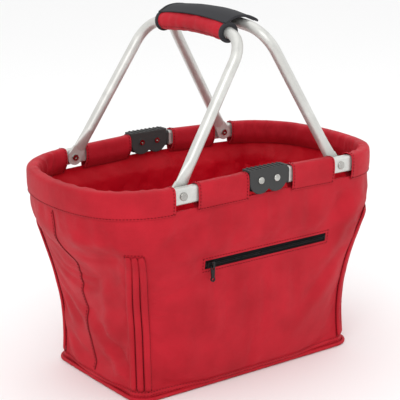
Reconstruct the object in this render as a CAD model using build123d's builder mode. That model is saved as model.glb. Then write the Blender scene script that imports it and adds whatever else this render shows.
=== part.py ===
"""Folding shopping basket with an aluminium rim, two bail handles and an insulated fabric body.

The origin is the middle of the base on the surface that the basket stands on.
+X runs along the length, +Y to the back and +Z up. All sizes are in millimetres.
"""

import math
import os

from build123d import *

# Rim: two U halves of flat-sided aluminium tube, hinged together in the middle of the long sides
RIM_Z = 282.4  # height of the hinge rivets
RIM_DROOP = 1.6  # degrees that each half sags from its hinge
RIM_END = 235  # half the length of the rim, on the tube's centre line
END_RADIUS = 260
END_ANGLE = 15  # half the angle that the end arc spans
CORNER_RADIUS = 92
SIDE_LEAN = 2.4  # degrees that the long sides close in towards the ends
TUBE_TALL = 22
TUBE_THICK = 12
TUBE_WALL = 1.2
TUBE_CORNER = 3.5

# Hinge blocks, knuckles and rivets
HINGE_X = 13  # from the middle to each hinge rivet
LOBE_RADIUS = 18
BLOCK_TOP = 15  # above the rivets
BLOCK_PLATE = 3
BLOCK_THICK = 17.4
BLOCK_SLOT = 13.4
EYE_RADIUS = 10.8
COLLAR_START = 19  # from the hinge rivet
TUBE_START = 23
SHANK_END = 58
HINGE_PIN = 2.5
RUNNING_FIT = 0.05

# Handles: two bails of round tube with flattened feet
PIVOT_X = 130
HANDLE_RISE = 228  # from the pivots to the top of the bail's centre line
HANDLE_RADIUS = 7.5
HANDLE_WALL = 1.2
CROWN_RADIUS = 500
CROWN_ANGLE = 9.3
BEND_RADIUS = 40
LEG_SPLAY = 3.7
LEAN_LEFT = 33.0  # degrees that the handle leans in from the vertical
LEAN_RIGHT = 29.5
FOOT_RADIUS = 11
FOOT_THICK = 4
FOOT_TOP = 14
FOOT_TAPER = 1.8
FOOT_INSET = 1.5  # of the leg's flat end inside the foot
FOOT_LAP = 3
LEG_START = 44
HANDLE_PIN = 3

# Grip on the left handle
GRIP_HALF = 78
FOAM_RADIUS = 11.4
WRAP_RADIUS = 13
BINDING_RADIUS = 13.8
BINDING_WIDTH = 6
FLAP_HEM = 1.6

# Fabric tunnels that hang from the rim
SIDE_SLEEVES = {"left": (32.5, 109), "right": (41, 116)}  # along X
END_SLEEVE_STARTS = {"left": 143, "right": 148}
SLEEVE_CLOTH = 1.1
SLEEVE_HALF = 7.7
SLEEVE_TOP = 12.6  # above the tube's centre line
SLEEVE_ROUND = 2.5
SLEEVE_WAIST = -8
SLEEVE_HEM = -22.6
SLEEVE_EDGE = 2.2

# Fabric body: height, half length, half width and corner radius of its sections
SECTIONS = [
    (0, 181, 106, 24),
    (110, 183, 122, 34),
    (160, 190, 130, 48),
    (200, 212, 136, 64),
    (252, 228, 144, 86),
]
SHELL = 1.0
POUCH_GAP = (1.2, 2.8)
FOAM = (3.4, 6.4)
LINING = (6.7, 7.5)
LINING_TOP = 248
BASE_PANEL = 1.2
BOARD = (1.4, 3.9)
FLOOR_FOAM = (4.1, 7.1)
FLOOR_LINING = (7.3, 8.1)
CORNER_ANGLE = math.degrees(math.atan2(99, 174))
PIPING_RADIUS = 2.6

# Corner ribs: three cords under each corner's tucks
RIB_RADIUS = 3
RIB_SPACING = 9.5
RIB_GAP = 0.9
RIB_HEIGHTS = (26, 110, 160, 204)

# Zipped pocket in the front panel
ZIP_X = 10
ZIP_Z = 179
ZIP_HALF = 102
ZIP_GAP = 12
ZIP_BAND = (160, 200)  # heights between which the front panel is flat
COIL_WIDTH = 5
SLIDER_X = -84
PULL_LENGTH = 17
POUCH_HALF = 108
POUCH_BOTTOM = 70

# Rivets and washers
HEAD_LIP = 2.4  # how far a rivet's head reaches past its pin
HEAD_HIGH = 1.9
HEAD_ROUND = 1.6
HOLLOW_LIP = 1.5  # the rolled inner end
HOLLOW_BORE = 1.2
HOLLOW_HIGH = 1.6
HEAD_GAP = 0.4
WASHER_RADIUS = 7
WASHER_THICK = 0.9

# Ridges and edges of the hinge blocks
BLOCK_EDGE = 0.8
RIDGES = 8
RIDGE_PITCH = 7
RIDGE_WIDTH = 2.4
RIDGE_HIGH = 1

# Grip flap and hook and loop tapes
HOOK_ANGLES = (35, 100)
FLAP_THICK = 2
LOOP_THICK = 1
LOOP_START = 15
FLAP_RISE = 0.42
FLAP_SIDE = [(-9.5, 12.6), (17, 20.8), (47, 13.5)]  # from the left handle's crown, across the grip

# Smaller fabric and zip sizes
BOARD_GAP = 1
RIB_BEND = 60
POUCH_TOP = 196
COIL_THICK = 1.6
SLIDER_OUT = COIL_THICK - SHELL / 2 + 0.3  # from the cloth to the slider's back
SLIDER_SIZE = (12, 8, 2.4)
SLIDER_THICK = 2
BAIL_RADIUS = 3.2
BAIL_WIRE = 1.1
BAIL_HALF = 1.2
BAIL_SUNK = 0.8
PULL_PIN = 0.9
PULL_WIDTH = 6.8
PULL_TAPER = 1.2
PULL_SLOT = (3.2, 4.2)

CORNERS = {
    "front_left": (-1, -1),
    "front_right": (1, -1),
    "back_left": (-1, 1),
    "back_right": (1, 1),
}
LEANS = {"left": LEAN_LEFT, "right": LEAN_RIGHT}

FAR = 400


def save(piece, name):
    """Label a finished sub-part and write it as one STEP file."""
    piece.part.label = name
    export_step(piece.part, f"parts/{name}.step")


def wall_at(height):
    """Half length, half width and corner radius of the fabric body at a height."""
    for low, high in zip(SECTIONS, SECTIONS[1:]):
        if height <= high[0]:
            share = (height - low[0]) / (high[0] - low[0])
            return [a + share * (b - a) for a, b in zip(low[1:], high[1:])]
    return list(SECTIONS[-1][1:])


def loft_tub(inset, floor, top, mode=Mode.ADD):
    """Loft the body's outer shape, moved in by inset, from floor to top, inside a BuildPart."""
    heights = [floor] + [s[0] for s in SECTIONS if floor < s[0] < top] + [top]
    for low, high in zip(heights, heights[1:]):
        faces = []
        for height in (low, high):
            half_length, half_width, corner = wall_at(height)
            with BuildSketch(Plane.XY.offset(height)) as section:
                RectangleRounded(
                    2 * (half_length - inset), 2 * (half_width - inset), corner - inset
                )
            faces.append(section.sketch)
        loft(faces, ruled=True, mode=mode)


def sector(angle_from, angle_to, top, mode=Mode.INTERSECT):
    """Keep the part of the body between two compass angles about the Z axis."""
    with BuildSketch() as wedge:
        Polygon(
            (0, 0),
            (FAR * math.cos(angle_from), FAR * math.sin(angle_from)),
            (FAR * math.cos(angle_to), FAR * math.sin(angle_to)),
            align=None,
        )
    extrude(wedge.sketch, amount=top, mode=mode)


# ---------------------------------------------------------------- rim geometry

end_angle = math.radians(END_ANGLE)
side_lean = math.radians(SIDE_LEAN)
droop = math.radians(RIM_DROOP)
corner_x = RIM_END - END_RADIUS + (END_RADIUS - CORNER_RADIUS) * math.cos(end_angle)
corner_y = (END_RADIUS - CORNER_RADIUS) * math.sin(end_angle)
side_end_x = corner_x + CORNER_RADIUS * math.sin(side_lean)
side_end_y = corner_y + CORNER_RADIUS * math.cos(side_lean)


def side_y(x):
    """Y of the tube's centre line on the long side, at a distance x from the middle."""
    return side_end_y + (side_end_x - x) * math.tan(side_lean)


HINGE_Y = side_y(HINGE_X)
PIVOT_Y = side_y(PIVOT_X)
PIVOT_Z = RIM_Z - (PIVOT_X - HINGE_X) * math.tan(droop)


def rim_plane(side):
    """The plane of one rim half: its origin is on the hinge axis and local X runs to the end."""
    return Plane(
        origin=(side * HINGE_X, 0, RIM_Z),
        x_dir=(side * math.cos(droop), 0, -math.sin(droop)),
        z_dir=(side * math.sin(droop), 0, math.cos(droop)),
    )


def rim_arcs(turn_from):
    """The tube's centre line round the end of a rim half, from an angle on one corner to the other."""
    turn = turn_from - END_ANGLE
    CenterArc((corner_x - HINGE_X, corner_y), CORNER_RADIUS, turn_from, -turn)
    CenterArc((RIM_END - END_RADIUS - HINGE_X, 0), END_RADIUS, END_ANGLE, -2 * END_ANGLE)
    CenterArc((corner_x - HINGE_X, -corner_y), CORNER_RADIUS, -END_ANGLE, -turn)


def rim_route(side, start):
    """The tube's centre line of one rim half, from x = start round the end and back."""
    with BuildLine(rim_plane(side)) as route:
        Line((start - HINGE_X, side_y(start)), (side_end_x - HINGE_X, side_end_y))
        rim_arcs(90 - SIDE_LEAN)
        Line((side_end_x - HINGE_X, -side_end_y), (start - HINGE_X, -side_y(start)))
    return route


def end_route(side, start):
    """The part of a rim half's centre line that lies past x = start, which is on its corners."""
    with BuildLine(rim_plane(side)) as route:
        rim_arcs(math.degrees(math.acos((start - corner_x) / CORNER_RADIUS)))
    return route


def rim_section(side, start, mirrored=False):
    """The plane across the tube on a long side: local X is up and Z runs along the tube."""
    plane = rim_plane(side)
    way = -1 if mirrored else 1
    origin = plane.from_local_coords(Vector(start - HINGE_X, way * side_y(start), 0))
    ahead = plane.from_local_coords(
        Vector(start - HINGE_X + math.cos(side_lean), way * (side_y(start) - math.sin(side_lean)), 0)
    )
    return Plane(origin=origin, x_dir=plane.z_dir, z_dir=ahead - origin)


crown_angle = math.radians(CROWN_ANGLE)
splay = math.radians(LEG_SPLAY)
crown_centre = HANDLE_RISE - CROWN_RADIUS
bend_y = (CROWN_RADIUS - BEND_RADIUS) * math.sin(crown_angle)
bend_rise = crown_centre + (CROWN_RADIUS - BEND_RADIUS) * math.cos(crown_angle)
leg_top_y = bend_y + BEND_RADIUS * math.cos(splay)
leg_top_rise = bend_rise + BEND_RADIUS * math.sin(splay)
FOOT_Y = leg_top_y + leg_top_rise * math.tan(splay)


def leg_y(rise):
    """Y of a handle leg's centre line at a distance up from the pivots."""
    return FOOT_Y - rise * math.tan(splay)


def handle_plane(side, lean):
    """The plane of one handle: its origin is on the pivot axis and local Y runs up the legs."""
    tilt = math.radians(lean)
    return Plane(
        origin=(side * PIVOT_X, 0, PIVOT_Z),
        x_dir=(0, 1, 0),
        z_dir=(math.cos(tilt), 0, side * math.sin(tilt)),
    )


def handle_route(side, lean):
    """The handle tube's centre line between the tops of its two feet."""
    with BuildLine(handle_plane(side, lean)) as route:
        Line((leg_y(LEG_START), LEG_START), (leg_top_y, leg_top_rise))
        CenterArc((bend_y, bend_rise), BEND_RADIUS, LEG_SPLAY, 90 - CROWN_ANGLE - LEG_SPLAY)
        CenterArc((0, crown_centre), CROWN_RADIUS, 90 - CROWN_ANGLE, 2 * CROWN_ANGLE)
        CenterArc((-bend_y, bend_rise), BEND_RADIUS, 90 + CROWN_ANGLE, 90 - CROWN_ANGLE - LEG_SPLAY)
        Line((-leg_top_y, leg_top_rise), (-leg_y(LEG_START), LEG_START))
    return route


def leg_plane(side, lean, way, rise, flat=False):
    """The plane across a leg at a distance up from the pivots, with local Y along Y."""
    plane = handle_plane(side, lean)
    place = FOOT_Y if flat else leg_y(rise)
    origin = plane.from_local_coords(Vector(way * place, rise, 0))
    ahead = plane.from_local_coords(
        Vector(way * (place - (0 if flat else math.tan(splay))), rise + 1, 0)
    )
    return Plane(origin=origin, x_dir=plane.z_dir, z_dir=ahead - origin)


def foot_plane(side, lean, way):
    """The middle plane of a flattened foot, with local Y up the leg."""
    plane = handle_plane(side, lean)
    return Plane(
        origin=plane.from_local_coords(Vector(way * FOOT_Y, 0, 0)),
        x_dir=plane.z_dir,
        z_dir=-plane.x_dir,
    )


def rivet(body, face, pin, length):
    """A rivet whose domed head stands on a face and whose pin runs back from it."""
    with BuildSketch(face) as pin_section:
        Circle(pin)
    extrude(pin_section.sketch, amount=-length)
    with BuildSketch(face) as head_section:
        Circle(pin + HEAD_LIP)
    extrude(head_section.sketch, amount=HEAD_HIGH)
    crown = body.part.faces().sort_by_distance(face.origin + face.z_dir * HEAD_HIGH)[0]
    fillet(crown.edges(), HEAD_ROUND)
    with BuildSketch(face.offset(-length)) as hollow_section:
        Circle(pin + HOLLOW_LIP)
        Circle(pin - HOLLOW_BORE, mode=Mode.SUBTRACT)
    extrude(hollow_section.sketch, amount=-HOLLOW_HIGH)


def sleeve_outline(inset, mode=Mode.ADD):
    """Outline of a fabric tunnel, snug over the tube and hanging to a stitched edge below it."""
    half, top, hem = SLEEVE_HALF - inset, SLEEVE_TOP - inset, SLEEVE_HEM + inset
    shoulder, flat, edge = top - SLEEVE_ROUND, half - SLEEVE_ROUND, SLEEVE_EDGE - inset / 2
    Polygon(
        (shoulder, half), (SLEEVE_WAIST, half), (hem, edge), (hem, -edge), (SLEEVE_WAIST, -half),
        (shoulder, -half), (top, -flat), (top, flat), align=None, mode=mode,
    )


def grip_route(start, stop):
    """The left handle's centre line along the grip, from start to stop along the crown."""
    with BuildLine(handle_plane(-1, LEAN_LEFT)) as route:
        CenterArc(
            (0, crown_centre),
            CROWN_RADIUS,
            90 - math.degrees(stop / CROWN_RADIUS),
            math.degrees((stop - start) / CROWN_RADIUS),
        )
    return route


def grip_sleeve(inner, outer, start, stop):
    """A round sleeve about the left handle's crown."""
    route = grip_route(start, stop)
    with BuildSketch(Plane(origin=route.line @ 0, z_dir=route.line % 0)) as ring:
        Circle(outer)
        Circle(inner, mode=Mode.SUBTRACT)
    sweep(ring.sketch, path=route.line)


def grip_arc(inner, outer, angle_from, angle_to):
    """A strip on the grip between two angles from +X towards +Z."""
    start, stop = GRIP_HALF - BINDING_WIDTH - 2, -GRIP_HALF + BINDING_WIDTH + 2
    route = grip_route(stop, start)
    with BuildSketch(
        Plane(origin=route.line @ 0, x_dir=(1, 0, 0), z_dir=-(route.line % 0))
    ) as strip:
        Circle(outer)
        Circle(inner, mode=Mode.SUBTRACT)
        Polygon(
            (0, 0),
            (FAR * math.cos(math.radians(angle_from)), FAR * math.sin(math.radians(angle_from))),
            (FAR * math.cos(math.radians(angle_to)), FAR * math.sin(math.radians(angle_to))),
            align=None,
            mode=Mode.INTERSECT,
        )
    sweep(strip.sketch, path=route.line)


def crown_middle():
    """The middle of the left handle's crown."""
    return handle_plane(-1, LEAN_LEFT).from_local_coords(Vector(0, HANDLE_RISE, 0))


def flap_points(lift, trim=0):
    """Three points of the flap's curve across the grip, in X and Z, raised by lift."""
    middle = crown_middle()
    points = [(middle.X + x, middle.Z + z + lift) for x, z in FLAP_SIDE]
    points[0] = (points[0][0] + trim, points[0][1] + trim * FLAP_RISE)
    return points


def floor_layer(inset, bottom, top):
    """A flat layer of the floor, inside the body's outline at its height."""
    half_length, half_width, corner_radius = wall_at(bottom)
    with BuildSketch(Plane.XY.offset(bottom)) as outline:
        RectangleRounded(
            2 * (half_length - inset), 2 * (half_width - inset), corner_radius - inset
        )
    extrude(outline.sketch, amount=top - bottom)


def front_plane(out):
    """The plane of the front panel at the zip, moved out by a distance."""
    low, high = (wall_at(height) for height in ZIP_BAND)
    slope = math.atan2(high[1] - low[1], ZIP_BAND[1] - ZIP_BAND[0])
    origin = Vector(ZIP_X, -wall_at(ZIP_Z)[1], ZIP_Z)
    normal = Vector(0, -math.cos(slope), -math.sin(slope))
    return Plane(origin=origin + normal * out, x_dir=(1, 0, 0), z_dir=normal)


def bail_centre():
    """The middle of the slider's bail ring."""
    plane = front_plane(SLIDER_OUT + SLIDER_THICK + BAIL_RADIUS - BAIL_SUNK)
    return plane.from_local_coords(Vector(SLIDER_X - ZIP_X, 0, 0))


def rib_point(signs, number, height):
    """A point of a rib's centre line, just outside the body's rounded corner."""
    half_length, half_width, corner_radius = wall_at(height)
    angle = math.radians(45) + number * RIB_SPACING / corner_radius
    reach = corner_radius + RIB_RADIUS + RIB_GAP
    return Vector(
        signs[0] * (half_length - corner_radius + reach * math.cos(angle)),
        signs[1] * (half_width - corner_radius + reach * math.sin(angle)),
        height,
    )


os.makedirs("parts", exist_ok=True)

SIDES = {"left": -1, "right": 1}

for name, side in SIDES.items():
    # Rim tube: one bent aluminium tube, drilled for the handle rivets
    with BuildPart() as rim_tube:
        route = rim_route(side, HINGE_X + TUBE_START)
        with BuildSketch(rim_section(side, HINGE_X + TUBE_START)):
            RectangleRounded(TUBE_TALL, TUBE_THICK, TUBE_CORNER)
            RectangleRounded(
                TUBE_TALL - 2 * TUBE_WALL,
                TUBE_THICK - 2 * TUBE_WALL,
                TUBE_CORNER - TUBE_WALL,
                mode=Mode.SUBTRACT,
            )
        sweep(path=route.line)
        with BuildSketch(Plane(origin=(side * PIVOT_X, 0, PIVOT_Z), z_dir=(0, 1, 0))):
            Circle(HANDLE_PIN)
        extrude(amount=FAR, both=True, mode=Mode.SUBTRACT)
    save(rim_tube, f"rim_tube_{name}")

    # Knuckles: plastic plugs in the tube ends, with the eyes that turn in the hinge blocks
    with BuildPart() as knuckles:
        for way in (1, -1):
            with BuildSketch(
                Plane(origin=(side * HINGE_X, way * HINGE_Y, RIM_Z), z_dir=(0, 1, 0))
            ):
                Circle(EYE_RADIUS)
            extrude(amount=(TUBE_THICK - 0.6) / 2, both=True)
            across = rim_section(side, HINGE_X, mirrored=way < 0)
            with BuildSketch(across):
                Rectangle(2 * EYE_RADIUS - 4, TUBE_THICK - 1)
            extrude(amount=COLLAR_START)
            with BuildSketch(across.offset(COLLAR_START)):
                RectangleRounded(TUBE_TALL, TUBE_THICK, TUBE_CORNER)
            extrude(amount=TUBE_START - COLLAR_START - 0.1)
            with BuildSketch(across.offset(TUBE_START - 1)):
                RectangleRounded(TUBE_TALL - 2 * TUBE_WALL - 0.4, TUBE_THICK - 2 * TUBE_WALL - 0.4, 2)
            extrude(amount=SHANK_END - TUBE_START)
        with BuildSketch(Plane(origin=(side * HINGE_X, 0, RIM_Z), z_dir=(0, 1, 0))):
            Circle(HINGE_PIN + RUNNING_FIT)
        extrude(amount=FAR, both=True, mode=Mode.SUBTRACT)
    save(knuckles, f"hinge_knuckles_{name}")

    # Handle rivets: domed outside, hollow inside, fixed in the rim tube
    outer_face = PIVOT_Y + TUBE_THICK / 2
    inner_end = FOOT_Y - FOOT_THICK / 2 - 0.3
    with BuildPart() as rivets:
        for way in (1, -1):
            face = Plane(
                origin=(side * PIVOT_X, way * (outer_face + HEAD_GAP), PIVOT_Z), z_dir=(0, way, 0)
            )
            rivet(rivets, face, HANDLE_PIN, outer_face + HEAD_GAP - inner_end)
    save(rivets, f"handle_rivets_{name}")

    # Washers between each handle foot and the rim tube
    with BuildPart() as washers:
        for way in (1, -1):
            with BuildSketch(
                Plane(origin=(side * PIVOT_X, way * (FOOT_Y + FOOT_THICK / 2 + 0.2), PIVOT_Z),
                      z_dir=(0, way, 0))
            ):
                Circle(WASHER_RADIUS)
                Circle(HANDLE_PIN, mode=Mode.SUBTRACT)
            extrude(amount=WASHER_THICK)
    save(washers, f"handle_washers_{name}")

    # Fabric tunnels: a long one round the end, and a short one on each long side
    with BuildPart() as end_sleeve:
        for stretch in end_route(side, END_SLEEVE_STARTS[name]).edges():
            across = Plane(
                origin=stretch @ 0, x_dir=rim_plane(side).z_dir, z_dir=stretch % 0
            )
            with BuildSketch(across):
                sleeve_outline(0)
                sleeve_outline(SLEEVE_CLOTH, mode=Mode.SUBTRACT)
            sweep(path=stretch)
    save(end_sleeve, f"end_sleeve_{name}")

    with BuildPart() as side_sleeves:
        start, stop = SIDE_SLEEVES[name]
        for way in (1, -1):
            with BuildSketch(rim_section(side, start, mirrored=way < 0)):
                sleeve_outline(0)
                sleeve_outline(SLEEVE_CLOTH, mode=Mode.SUBTRACT)
            extrude(amount=stop - start)
    save(side_sleeves, f"side_sleeves_{name}")

    # Handle: round tube bent into a bail, with feet pressed flat
    lean = LEANS[name]
    with BuildPart() as handle:
        route = handle_route(side, lean)
        with BuildSketch(Plane(origin=route.line @ 0, z_dir=route.line % 0)):
            Circle(HANDLE_RADIUS)
            Circle(HANDLE_RADIUS - HANDLE_WALL, mode=Mode.SUBTRACT)
        sweep(path=route.line)
        for way in (1, -1):
            with BuildSketch(leg_plane(side, lean, way, LEG_START + 1)) as round_end:
                Circle(HANDLE_RADIUS - 0.1)
            with BuildSketch(leg_plane(side, lean, way, FOOT_TOP - FOOT_LAP, flat=True)) as flat_end:
                Ellipse(FOOT_RADIUS - FOOT_INSET, FOOT_THICK / 2 - 0.1)
            loft([round_end.sketch, flat_end.sketch])
            with BuildSketch(foot_plane(side, lean, way)):
                Circle(FOOT_RADIUS)
                wide, narrow = FOOT_RADIUS - 0.3, FOOT_RADIUS - FOOT_TAPER
                Polygon((-wide, 0), (wide, 0), (narrow, FOOT_TOP), (-narrow, FOOT_TOP), align=None)
            extrude(amount=FOOT_THICK / 2, both=True)
        with BuildSketch(Plane(origin=(side * PIVOT_X, 0, PIVOT_Z), z_dir=(0, 1, 0))):
            Circle(HANDLE_PIN + RUNNING_FIT)
        extrude(amount=FAR, both=True, mode=Mode.SUBTRACT)
    save(handle, f"handle_{name}")

# Hinge blocks: moulded channels, open below, with two lobes and a ribbed top
for name, way in {"front": -1, "back": 1}.items():
    block_plane = Plane(origin=(0, way * HINGE_Y, RIM_Z), x_dir=(1, 0, 0), z_dir=(0, -1, 0))
    with BuildPart() as block:
        with BuildSketch(block_plane):
            with Locations((-HINGE_X, 0), (HINGE_X, 0)):
                Circle(LOBE_RADIUS)
            with Locations((0, BLOCK_TOP / 2)):
                Rectangle(2 * (HINGE_X + LOBE_RADIUS), BLOCK_TOP)
            with Locations((0, BLOCK_TOP - FAR / 2)):
                Rectangle(FAR, FAR, mode=Mode.INTERSECT)
        extrude(amount=BLOCK_THICK / 2, both=True)
        chamfer(block.faces().filter_by(Axis.Y).edges(), BLOCK_EDGE)
        with BuildSketch(block_plane):
            with Locations((0, BLOCK_TOP - BLOCK_PLATE - FAR / 2)):
                Rectangle(FAR, FAR)
        extrude(amount=BLOCK_SLOT / 2, both=True, mode=Mode.SUBTRACT)
        with BuildSketch(block_plane):
            with Locations((-HINGE_X, 0), (HINGE_X, 0)):
                Circle(HINGE_PIN)
        extrude(amount=BLOCK_THICK, both=True, mode=Mode.SUBTRACT)
        with BuildSketch(Plane.XY.offset(RIM_Z + BLOCK_TOP)):
            with Locations((0, way * HINGE_Y)):
                with GridLocations(RIDGE_PITCH, 1, RIDGES, 1):
                    Rectangle(RIDGE_WIDTH, BLOCK_THICK - 2 * BLOCK_EDGE - 1)
        extrude(amount=RIDGE_HIGH)
    save(block, f"hinge_block_{name}")

    with BuildPart() as rivets:
        for x in (-HINGE_X, HINGE_X):
            face = Plane(
                origin=(x, way * (HINGE_Y + BLOCK_THICK / 2), RIM_Z), z_dir=(0, way, 0)
            )
            rivet(rivets, face, HINGE_PIN, BLOCK_THICK)
    save(rivets, f"hinge_rivets_{name}")

# Grip: foam and a sewn wrap on the left handle, with a hook and loop flap over the right one
with BuildPart() as grip_foam:
    grip_sleeve(HANDLE_RADIUS + 0.1, FOAM_RADIUS, -GRIP_HALF + 2, GRIP_HALF - 2)
save(grip_foam, "grip_foam")

with BuildPart() as grip_wrap:
    grip_sleeve(FOAM_RADIUS + 0.1, WRAP_RADIUS, -GRIP_HALF + BINDING_WIDTH, GRIP_HALF - BINDING_WIDTH)
save(grip_wrap, "grip_wrap")

with BuildPart() as grip_bindings:
    grip_sleeve(FOAM_RADIUS + 0.1, BINDING_RADIUS, GRIP_HALF - BINDING_WIDTH + 0.1, GRIP_HALF)
    grip_sleeve(FOAM_RADIUS + 0.1, BINDING_RADIUS, -GRIP_HALF, -GRIP_HALF + BINDING_WIDTH - 0.1)
save(grip_bindings, "grip_bindings")

with BuildPart() as hook_tape:
    grip_arc(WRAP_RADIUS + 0.2, WRAP_RADIUS + 1.4, *HOOK_ANGLES)
save(hook_tape, "hook_tape")

flap_line = flap_points(0)
with BuildPart() as grip_flap:
    with BuildSketch(Plane.XZ):
        with BuildLine():
            ThreePointArc(*flap_line)
        trace(line_width=FLAP_THICK)
        with Locations(flap_line[0]):
            Circle(FLAP_HEM)
    extrude(amount=GRIP_HALF, both=True)
save(grip_flap, "grip_flap")

with BuildPart() as loop_tape:
    with BuildSketch(Plane.XZ):
        with BuildLine():
            ThreePointArc(*flap_points(-(FLAP_THICK + LOOP_THICK) / 2 - 0.4, trim=LOOP_START))
        trace(line_width=LOOP_THICK)
    extrude(amount=GRIP_HALF - 7, both=True)
save(loop_tape, "loop_tape")

# Outer shell: four fabric panels, sewn to each other at the corners
corner = math.radians(CORNER_ANGLE)
top = SECTIONS[-1][0]
zip_plane = front_plane(0)
for name, start in {
    "shell_right": -corner,
    "shell_back": corner,
    "shell_left": math.pi - corner,
    "shell_front": math.pi + corner,
}.items():
    turn = 2 * corner if name in ("shell_left", "shell_right") else math.pi - 2 * corner
    with BuildPart() as panel:
        loft_tub(0, 0, top)
        loft_tub(SHELL, 0, top, mode=Mode.SUBTRACT)
        sector(start, start + turn, top)
        if name == "shell_front":
            with BuildSketch(zip_plane):
                Rectangle(2 * ZIP_HALF, ZIP_GAP)
            extrude(amount=5, both=True, mode=Mode.SUBTRACT)
    save(panel, name)

# Base: fabric panel, stiffener boards that fold in the middle, foam and lining
with BuildPart() as base_panel:
    floor_layer(SHELL + 0.1, 0, BASE_PANEL)
save(base_panel, "base_panel")

for name, side in SIDES.items():
    with BuildPart() as base_board:
        floor_layer(SHELL + 2, *BOARD)
        with BuildSketch():
            with Locations((-side * FAR / 2 + side * BOARD_GAP / 2, 0)):
                Rectangle(FAR, FAR)
        extrude(amount=20, mode=Mode.SUBTRACT)
    save(base_board, f"base_board_{name}")

with BuildPart() as insulation_floor:
    floor_layer(FOAM[0], *FLOOR_FOAM)
save(insulation_floor, "insulation_floor")

with BuildPart() as insulation_wall:
    loft_tub(FOAM[0], FLOOR_LINING[0], LINING_TOP)
    loft_tub(FOAM[1], FLOOR_LINING[0], LINING_TOP, mode=Mode.SUBTRACT)
save(insulation_wall, "insulation_wall")

with BuildPart() as lining_floor:
    floor_layer(LINING[0], *FLOOR_LINING)
save(lining_floor, "lining_floor")

with BuildPart() as lining_wall:
    loft_tub(LINING[0], FLOOR_LINING[1] + 0.1, LINING_TOP)
    loft_tub(LINING[1], FLOOR_LINING[1] + 0.1, LINING_TOP, mode=Mode.SUBTRACT)
save(lining_wall, "lining_wall")

# Piping cord round the base seam
half_length, half_width, corner_radius = wall_at(PIPING_RADIUS)
reach = PIPING_RADIUS + 0.15
with BuildPart() as base_piping:
    with BuildSketch(Plane.XY.offset(PIPING_RADIUS + 0.1), mode=Mode.PRIVATE) as outline:
        RectangleRounded(
            2 * (half_length + reach), 2 * (half_width + reach), corner_radius + reach
        )
    seam = outline.sketch.face().outer_wire()
    with BuildSketch(Plane(origin=seam @ 0, z_dir=seam % 0)):
        Circle(PIPING_RADIUS)
    sweep(path=seam)
save(base_piping, "base_piping")

# Corner ribs: three cords in the tucks of each corner, following the wall's flare
for name, signs in CORNERS.items():
    with BuildPart() as ribs:
        for number in (-1, 0, 1):
            points = [rib_point(signs, number, height) for height in RIB_HEIGHTS]
            with BuildLine() as rib_line:
                FilletPolyline(*points, radius=RIB_BEND)
            with BuildSketch(Plane(origin=rib_line.line @ 0, z_dir=rib_line.line % 0)):
                Circle(RIB_RADIUS)
            sweep(path=rib_line.line)
    save(ribs, f"corner_ribs_{name}")

# Pocket: a pouch behind the front panel, closed by a coil zip
with BuildPart() as pocket_pouch:
    loft_tub(POUCH_GAP[0], POUCH_BOTTOM, POUCH_TOP)
    loft_tub(POUCH_GAP[1], POUCH_BOTTOM, POUCH_TOP, mode=Mode.SUBTRACT)
    with BuildSketch():
        with Locations((ZIP_X, -FAR / 2)):
            Rectangle(2 * POUCH_HALF, FAR)
    extrude(amount=top, mode=Mode.INTERSECT)
save(pocket_pouch, "pocket_pouch")

for name, way in {"upper": 1, "lower": -1}.items():
    with BuildPart() as tape:
        with BuildSketch(front_plane(-SHELL / 2)):
            with Locations((0, way * (ZIP_GAP / 4 + COIL_WIDTH / 4))):
                Rectangle(2 * ZIP_HALF - 1, ZIP_GAP / 2 - COIL_WIDTH / 2 - 0.2)
        extrude(amount=SHELL / 2)
    save(tape, f"zip_tape_{name}")

with BuildPart() as zip_coil:
    with BuildSketch(front_plane(-SHELL / 2)):
        Rectangle(2 * ZIP_HALF - 6, COIL_WIDTH - 0.2)
    extrude(amount=COIL_THICK)
save(zip_coil, "zip_coil")

with BuildPart() as zip_stops:
    with BuildSketch(front_plane(-SHELL / 2)):
        with GridLocations(2 * ZIP_HALF - 3.4, 1, 2, 1):
            Rectangle(2.2, COIL_WIDTH)
    extrude(amount=COIL_THICK)
save(zip_stops, "zip_stops")

# Slider and pull: the pull hangs from the slider's bail
slider_plane = front_plane(SLIDER_OUT)
with BuildPart() as slider:
    with BuildSketch(slider_plane):
        with Locations((SLIDER_X - ZIP_X, 0)):
            RectangleRounded(*SLIDER_SIZE)
    extrude(amount=SLIDER_THICK)
    with BuildSketch(Plane(origin=bail_centre(), z_dir=(1, 0, 0))):
        Circle(BAIL_RADIUS)
        Circle(BAIL_RADIUS - BAIL_WIRE, mode=Mode.SUBTRACT)
    extrude(amount=BAIL_HALF, both=True)
save(slider, "zip_slider")

pull_axis = bail_centre() + Vector(0, 0, -BAIL_RADIUS + BAIL_WIRE + PULL_PIN + RUNNING_FIT)
with BuildPart() as pull:
    with BuildSketch(Plane(origin=pull_axis, x_dir=(1, 0, 0), z_dir=(0, -1, 0))):
        with BuildLine():
            top, waist = PULL_WIDTH / 2, PULL_WIDTH / 2 - PULL_TAPER
            Polyline((-top, 1), (top, 1), (waist, -PULL_LENGTH), (-waist, -PULL_LENGTH), close=True)
        make_face()
        with Locations((0, -PULL_LENGTH)):
            Circle(PULL_WIDTH / 2)
            Circle(PULL_WIDTH / 4, mode=Mode.SUBTRACT)
        with Locations((0, -PULL_SLOT[1] / 3)):
            Rectangle(*PULL_SLOT, mode=Mode.SUBTRACT)
    extrude(amount=PULL_PIN, both=True)
    with BuildSketch(Plane(origin=pull_axis, z_dir=(1, 0, 0))):
        Circle(PULL_PIN)
    extrude(amount=2.4, both=True)
save(pull, "zip_pull")
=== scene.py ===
"""Folding insulated shopping basket: its fabric body, sleeves, zip, grip and finishes, built round the CAD frame.

All sizes are in metres. +X runs along the basket, +Y to the back and +Z up.
"""

import logging
import math
from dataclasses import dataclass, field
from enum import Enum
from typing import Callable, Sequence

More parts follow.
